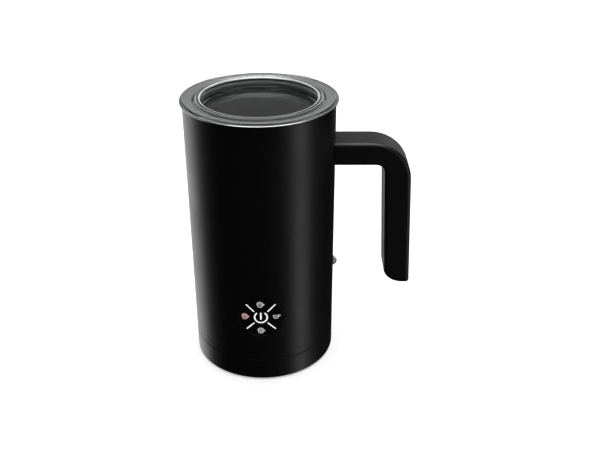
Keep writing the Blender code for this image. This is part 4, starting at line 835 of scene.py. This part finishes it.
panelLook = {
    "sunk": 0.1 * mm,
    "thick": 1.2 * mm,
    "edge": 0.3 * mm,
    "proud": 0.03 * mm,  # print on the lens
    "ring": 4.25 * mm,
    "ringStroke": 1.02 * mm,
    "ringGap": 35,  # degrees on each side of the top
    "barTop": 3.9 * mm,
    "barLow": -1.9 * mm,
    "barStroke": 1.1 * mm,
    "dividerFrom": 6.3 * mm,
    "dividerTo": 14.2 * mm,
    "dividerStroke": 0.88 * mm,
    "cupAt": 10.6 * mm,
}


def buildLens(look):
    # rings round the panel's middle: over the front, round the edge and across the back
    r, e = lensHigh.x, look["edge"]
    bend = np.linspace(0, math.pi / 2, 6)
    rho = np.concatenate([np.linspace(0, r - e - 0.2 * mm, 12), r - e + e * np.sin(bend), [r],
                          np.linspace(r, 0, 8)])
    depth = np.concatenate([np.zeros(12), e * (1 - np.cos(bend)), [look["thick"]], np.full(8, look["thick"])])
    turn = np.linspace(0, 2 * math.pi, 96, endpoint=False)
    s, z = rho[:, None] * np.cos(turn), rho[:, None] * np.sin(turn)
    points = bodyWrap(s, panelHeight + z, look["sunk"] + depth[:, None] + 0 * s)
    return points, gridFaces(len(rho), len(turn), False, True)


points, faces = buildLens(panelLook)
makePiece("panelLens", points, faces, lensBlack, "jug", ["panel_lens"])


def stroke(path, width, closed=False, look=panelLook):
    # a printed line: a low flat-topped ridge along the path, with round ends, laid on the lens
    path = np.asarray(path, float)
    if closed:
        along = unit(np.roll(path, -1, 0) - np.roll(path, 1, 0))
        taper = np.ones(len(path))
    else:
        length = np.concatenate([[0], np.cumsum(np.linalg.norm(np.diff(path, axis=0), axis=1))])
        cap = np.sin(np.linspace(0, math.pi / 2, 7))
        spots = width / 2 * (1 - np.cos(np.linspace(0, math.pi / 2, 7)))
        middle = np.linspace(width / 2, length[-1] - width / 2, max(8, len(path)))[1:-1]
        at = np.concatenate([spots, middle, length[-1] - spots[::-1]])
        taper = np.concatenate([cap, np.ones(len(middle)), cap[::-1]])
        path = np.stack([np.interp(at, length, path[:, k]) for k in (0, 1)], 1)
        along = unit(np.gradient(path, axis=0))
    side = np.stack([-along[:, 1], along[:, 0]], 1)
    across = np.array([-1, -1, -0.94, 0.94, 1, 1])
    lift = np.array([-0.15, 0.0, 1, 1, 0.0, -0.15])
    flat = path[:, None] + across[None, :, None] * (taper * width / 2)[:, None, None] * side[:, None]
    depth = look["sunk"] - lift * look["proud"]
    points = bodyWrap(flat[..., 0], panelHeight + flat[..., 1], depth[None] + 0 * flat[..., 0])
    return points, gridFaces(len(path), 6, closed, True)


def patch(top, low, look=panelLook):
    # a printed area between two lines of points, laid on the lens
    t = np.linspace(0, 1, 7)[:, None, None]
    front = (1 - t) * np.asarray(top)[None] + t * np.asarray(low)[None]
    flat = np.concatenate([front, front[::-1]])
    depth = look["sunk"] - np.repeat([0.5, -0.15], 7) * look["proud"]
    points = bodyWrap(flat[..., 0], panelHeight + flat[..., 1], depth[:, None] + 0 * flat[..., 0])
    return points, gridFaces(14, flat.shape[1], True, False)


def buildPower(look):
    # an open ring with a bar in its gap
    turn = np.radians(np.linspace(90 + look["ringGap"], 450 - look["ringGap"], 60))
    ring = look["ring"] * np.stack([np.cos(turn), np.sin(turn)], 1)
    bar = np.array([(0, look["barLow"]), (0, look["barTop"])])
    grids = [stroke(ring, look["ringStroke"]), stroke(bar, look["barStroke"])]
    for degrees in (45, 135, 225, 315):
        way = np.array([math.cos(math.radians(degrees)), math.sin(math.radians(degrees))])
        line = np.array([look["dividerFrom"] * way, look["dividerTo"] * way])
        grids.append(stroke(line, look["dividerStroke"]))
    return joinGrids(grids)


points, faces = buildPower(panelLook)
makePiece("powerMark", points, faces, symbolWhite, "jug", ())

cupLook = {"half": 2.0 * mm, "foot": 1.1 * mm, "deep": 2.55 * mm, "foam": 1.55 * mm, "ear": 1.45 * mm,
           "line": 0.42 * mm}


def buildCup(middle, domed, inner, look):
    # a small cup seen from the side: a tapering body under foam or a flat top, with a pointed handle
    half, foot, deep = look["half"], look["foot"], look["deep"]
    line, brim = look["line"], 0.55 * mm
    shift = np.asarray(middle, float)
    u = np.linspace(-1, 1, 25)
    foam = look["foam"] * np.clip(1 - np.abs(u) ** 2.4, 0, 1) ** 0.7 * (1 + 0.1 * np.cos(3 * math.pi * u))
    top = np.stack([half * u, brim + (foam if domed else 0 * u)], 1)
    low = np.stack([half * u, brim - deep * np.clip((1 - np.abs(u)) * half / (half - foot), 0, 1) ** 0.8], 1)
    wall = softOutline([(-half, brim, 0.15 * mm), (half, brim, 0.15 * mm), (foot, brim - deep, 0.6 * mm),
                        (-foot, brim - deep, 0.6 * mm)], 5)
    ear = openOutline([(half - 0.2 * mm, brim, 0.05 * mm), (half + look["ear"], brim - 0.1 * mm, 0.35 * mm),
                       (half - 0.75 * mm, brim - 0.72 * deep, 0.05 * mm)], 6)
    ear = ear[np.concatenate([[True], np.linalg.norm(np.diff(ear, axis=0), axis=1) > 1e-5])]
    grids = [stroke(wall + shift, line, True), stroke(ear + shift, line)]
    if domed:
        grids.append(stroke(top + shift, line))
        swirl = np.stack([u * half * 0.5, brim + 0.62 * mm + 0.22 * mm * np.sin(3 * u)], 1)
        grids.append(stroke(swirl + shift, line * 0.7))
    if inner:
        mark = np.array([(-0.7, -0.1), (-0.1, -1.1), (0.9, 0.3)]) * mm
        grids.append(stroke(mark + shift, line))
    small = np.array([0.94, 1])
    return joinGrids(grids), patch(top * small + shift, low * small + shift)


cupAt = panelLook["cupAt"]
cups = {
    "cupTop": ((-0.5 * mm, cupAt - 0.45 * mm), True, False, symbolPale, symbolGrey),
    "cupRight": ((cupAt - 0.3 * mm, 0.5 * mm), False, False, symbolPale, symbolGrey),
    "cupLow": ((-0.3 * mm, -cupAt - 0.35 * mm), True, True, symbolPale, symbolGrey),
    "cupLeft": ((-cupAt - 0.5 * mm, 0.1 * mm), True, False, symbolLitLine, symbolLit),
}
for name, (middle, domed, inner, lineFinish, fillFinish) in cups.items():
    (points, faces), shade = buildCup(middle, domed, inner, cupLook)
    makePiece(name, points, faces, lineFinish, "jug", ())
    makePiece(name + "Fill", shade[0], shade[1], fillFinish, "jug", ())
print("panel and symbols made")


glandLook = {
    "angle": 33.8,
    "height": 55.8 * mm,
    "drop": 48,
    "elbow": 5.6 * mm,
    "tail": 10.8 * mm,
    "root": 3.75 * mm,
    "tip": 3.05 * mm,
    "bore": 2.0 * mm,
    "ribs": 6,
    "groove": 0.65 * mm,
}


def buildGland(look):
    # a tapering boot on a bent path; grooves go most of the way round and leave a bridge on alternate sides
    drop = math.radians(look["drop"])
    start = bodyRadius - 2.2 * mm
    bendAt = bodyRadius + 1.5 * mm
    arc = np.linspace(0, drop, 12)
    straight = np.linspace(start, bendAt, 14)
    tail = np.linspace(0, look["tail"], 120)[1:]
    x = np.concatenate([straight[:-1], bendAt + look["elbow"] * np.sin(arc),
                        bendAt + look["elbow"] * math.sin(drop) + tail * math.cos(drop)])
    z = np.concatenate([0 * straight[:-1], -look["elbow"] * (1 - np.cos(arc)),
                        -look["elbow"] * (1 - math.cos(drop)) - tail * math.sin(drop)])
    turn = math.radians(look["angle"])
    path = np.stack([x * math.cos(turn), x * math.sin(turn), look["height"] + z], 1)
    share = np.concatenate([np.zeros(len(x) - len(tail)), tail / look["tail"]])
    outside = look["root"] + (look["tip"] - look["root"]) * share
    phase = share * look["ribs"]
    groove = np.where(share > 0.02, np.clip(4.0 * (0.30 - np.abs(phase % 1 - 0.35)) / 0.3, 0, 1), 0)
    sides = 48
    around = np.linspace(0, 2 * math.pi, sides, endpoint=False)
    flip = (np.floor(phase) % 2) * math.pi / 2
    bridge = np.abs(np.cos(around[None] + flip[:, None])) ** 6
    radius = outside[:, None] - look["groove"] * groove[:, None] * (1 - np.clip(bridge * 1.6, 0, 1))
    collar = np.exp(-((x[:13, None] - bodyRadius - 0.6 * mm) / (0.7 * mm)) ** 4) * mm
    radius[:13] += collar
    radius[-1] -= 0.25 * mm
    ring = np.stack([np.cos(around), np.sin(around)], -1)
    outer = radius[..., None] * ring
    inner = np.broadcast_to(look["bore"] * ring, outer.shape)
    across = (-math.sin(turn), math.cos(turn), 0)
    along = unit(np.gradient(path, axis=0))
    side = np.broadcast_to(across, path.shape)
    up = np.cross(side, along)
    flat = np.concatenate([outer, inner[::-1]])
    path, side, up = [np.concatenate([k, k[::-1]])[:, None] for k in (path, side, up)]
    points = path + flat[..., :1] * side + flat[..., 1:] * up
    return points, gridFaces(len(points), sides, True, True)


points, faces = buildGland(glandLook)
makePiece("leadGland", points, faces, glandRubber, "jug", ["lead_gland"])
print("bend relief made")


hubLow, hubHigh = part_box("whisk_hub")
coilLow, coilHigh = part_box("whisk_coil")
wireLow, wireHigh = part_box("whisk_wire")
bushLow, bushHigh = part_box("whisk_bush")
pinLow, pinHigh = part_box("whisk_pin")
whiskLook = {
    "ring": 11.5 * mm,
    "core": 0.55 * mm,
    "coil": 2.2 * mm,
    "coilWire": 0.32 * mm,
    "turns": 46,
    "bore": 3.1 * mm,
}


def buildHub(look):
    # a low puck, domed on top, bored for its bush
    r, low, high = hubHigh.x, hubLow.z, hubHigh.z
    bore, tall = look["bore"], high - low
    return softOutline([
        (bore, low, 0.3 * mm), (r, low, 0.4 * mm), (r, low + tall * 0.5, 1.2 * mm),
        (r * 0.55, high, 1.6 * mm), (bore, high, 0.3 * mm)], 6)


points, faces = turnedGrid(buildHub(whiskLook), True, 96)
makePiece("whiskHub", points, faces, hubPlastic, "whisk", ["whisk_hub"])


def buildCoil(look):
    # a wire wound round a ring
    count = look["turns"] * 20
    around = 2 * math.pi * np.arange(count) / count
    wound = look["turns"] * around
    middle = (coilLow.z + coilHigh.z) / 2
    away = np.stack([np.cos(around), np.sin(around), 0 * around], 1)
    out = np.cos(wound)[:, None] * away + np.stack([0 * around, 0 * around, np.sin(wound)], 1)
    centre = look["ring"] * away + [0, 0, middle]
    return sweepGrid(centre + look["coil"] * out, out, circleSection(look["coilWire"], 8), True)


points, faces = buildCoil(whiskLook)
makePiece("whiskCoil", points, faces, wireSteel, "whisk", ["whisk_coil"], 60)


def buildWire(look):
    # the ring inside the coil, and its two legs down into the hub
    around = np.linspace(0, 2 * math.pi, 96, endpoint=False)
    middle = wireHigh.z - look["core"]
    ring = look["ring"] * np.stack([np.cos(around), np.sin(around), 0 * around], 1) + [0, 0, middle]
    grids = [sweepGrid(ring, (0, 0, 1), circleSection(look["core"], 12), True)]
    for side in (1, -1):
        height = np.linspace(wireLow.z, middle, 12)
        leg = np.stack([0 * height, 0 * height + side * look["ring"], height], 1)
        grids.append(sweepGrid(leg, (1, 0, 0), circleSection(look["core"], 12)))
    return grids


for k, (points, faces) in enumerate(buildWire(whiskLook)):
    makePiece(("whiskRing", "whiskLegFront", "whiskLegBack")[k], points, faces, wireSteel, "whisk",
              ["whisk_wire"] if k == 0 else (), 60)

bushProfile = softOutline([
    (1.8 * mm, bushLow.z, 0.15 * mm), (bushHigh.x, bushLow.z, 0.2 * mm), (bushHigh.x, bushHigh.z, 0.3 * mm),
    (1.8 * mm, bushHigh.z, 0.3 * mm)], 5)
points, faces = turnedGrid(bushProfile, True, 64)
makePiece("whiskBush", points, faces, wireSteel, "whisk_bush", ["whisk_bush"])

pinProfile = softOutline([
    (0, pinLow.z, 0), (pinHigh.x, pinLow.z, 0.2 * mm), (pinHigh.x, pinLow.z + 0.8 * mm, 0.3 * mm),
    (1.5 * mm, pinLow.z + 0.8 * mm, 0.3 * mm), (1.5 * mm, pinHigh.z, 1.1 * mm), (0, pinHigh.z, 0)], 6)
points, faces = turnedGrid(pinProfile, False, 64)
makePiece("whiskPin", points, faces, wireSteel, "jug", ["whisk_pin"])
print("whisk made")


dressed = {
    "inner_frame": framePlastic, "drive_bracket": framePlastic, "panel_carrier": framePlastic,
    "board_transformer": framePlastic, "drive_disc": framePlastic, "pot_gasket": sealSilicone,
    "whisk_magnet_1": magnetNickel, "whisk_magnet_2": magnetNickel, "drive_magnet_1": magnetNickel,
    "drive_magnet_2": magnetNickel, "heater_plate": castAluminium, "heater_tube": motorSteel,
    "thermal_cutout": hubPlastic, "temperature_sensor": screwSteel, "motor_case": motorSteel,
    "motor_end_cap": hubPlastic, "motor_shaft": screwSteel, "power_board": boardGreen,
    "control_board": boardGreen, "board_relay": hubPlastic, "board_capacitor": hubPlastic,
    "board_terminal_block": boardGreen, "board_fuse": screwSteel, "light_guide": guideWhite,
}
for name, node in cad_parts.items():
    if node.hide_render:
        continue
    finish = dressed.get(name)
    if finish is None:
        finish = leadRed if "_lead_" in name else screwSteel
    node.data.materials.clear()
    node.data.materials.append(finish)
    node.data.polygons.foreach_set("material_index", np.zeros(len(node.data.polygons), np.int32))
print("inner pieces dressed")


floorLook = {"size": 9.0, "colour": (0.86, 0.86, 0.86, 1), "glow": 0.5}


def buildFloor(look):
    # one big pale square, just under the object
    half = look["size"] / 2
    mesh = bpy.data.meshes.new("floor")
    corners = [(-half, -half, 0), (half, -half, 0), (half, half, 0), (-half, half, 0)]
    mesh.from_pydata(corners, [], [(0, 1, 2, 3)])
    floor = bpy.data.objects.new("floor", mesh)
    bpy.context.scene.collection.objects.link(floor)
    material, _, shader = startMaterial(
        "floorWhite", Base_Color=look["colour"], Roughness=0.9, Emission_Color=(1, 1, 1, 1),
        Emission_Strength=look["glow"])
    shader.inputs["Specular IOR Level"].default_value = 0.0
    mesh.materials.append(material)
    floor.location.z = cadLow.z - 0.0002
    floor.visible_glossy = False
    floor.visible_shadow = False


def addSoftbox(name, azimuth, distance, height, wide, tall, power):
    # an upright area light that faces the object; azimuth 0 is in front and 90 on the handle's side
    data = bpy.data.lights.new(name, "AREA")
    data.shape = "RECTANGLE"
    data.size, data.size_y = wide, tall
    data.energy = power
    lamp = bpy.data.objects.new(name, data)
    turn = math.radians(azimuth)
    lamp.location = (distance * math.sin(turn), -distance * math.cos(turn), height)
    lamp.rotation_euler = (math.radians(90), 0, turn)
    lamp.visible_camera = False
    bpy.context.scene.collection.objects.link(lamp)
    return lamp


def addOverhead(power, size, height):
    # a square light that shines straight down
    data = bpy.data.lights.new("overhead", "AREA")
    data.shape = "SQUARE"
    data.size = size
    data.energy = power
    lamp = bpy.data.objects.new("overhead", data)
    lamp.location = (0.1, 0.2, height)
    lamp.visible_camera = False
    bpy.context.scene.collection.objects.link(lamp)
    return lamp


def buildWorld(seen, glow):
    # a white surround for the camera and a dim one for what the object mirrors
    world = bpy.data.worlds.new("studio")
    bpy.context.scene.world = world
    world.use_nodes = True
    tree = world.node_tree
    tree.nodes.clear()
    rays = tree.nodes.new("ShaderNodeLightPath")
    mix = tree.nodes.new("ShaderNodeMixShader")
    out = tree.nodes.new("ShaderNodeOutputWorld")
    far, near = tree.nodes.new("ShaderNodeBackground"), tree.nodes.new("ShaderNodeBackground")
    far.inputs["Color"].default_value = (1, 1, 1, 1)
    far.inputs["Strength"].default_value = glow
    near.inputs["Color"].default_value = (1, 1, 1, 1)
    near.inputs["Strength"].default_value = seen
    tree.links.new(rays.outputs["Is Camera Ray"], mix.inputs[0])
    tree.links.new(far.outputs[0], mix.inputs[1])
    tree.links.new(near.outputs[0], mix.inputs[2])
    tree.links.new(mix.outputs[0], out.inputs["Surface"])


worldLook = {"seen": 1.0, "glow": 0.018}
softboxes = {  # azimuth in degrees, distance, height of the middle, width and height in metres, watts
    "leftBox": (-144, 1.5, -0.75, 2.0, 2.2, 22),
    "rightBox": (64, 1.5, -0.55, 0.5, 2.2, 5.5),
    "backBox": (180, 1.6, 0.75, 2.4, 1.3, 2.7),
    "sideBox": (158, 1.6, 0.05, 0.5, 0.9, 1.0),
}
overheadLook = {"power": 44, "size": 1.8, "height": 1.8}
cameraLook = {"lens": 48.18, "sensor": 36, "place": (26.35 * mm, -494.77 * mm, 367.59 * mm), "tilt": 61.30}

buildFloor(floorLook)
buildWorld(**worldLook)
for name, values in softboxes.items():
    addSoftbox(name, *values)
addOverhead(**overheadLook)

cameraData = bpy.data.cameras.new("camera")
cameraData.lens = cameraLook["lens"]
cameraData.sensor_width = cameraLook["sensor"]
camera = bpy.data.objects.new("camera", cameraData)
camera.location = cameraLook["place"]
camera.rotation_euler = (math.radians(cameraLook["tilt"]), 0, 0)
bpy.context.scene.collection.objects.link(camera)
bpy.context.scene.camera = camera
bpy.context.scene.view_settings.view_transform = "Standard"
bpy.context.scene.view_settings.look = "None"

print("scene ready")
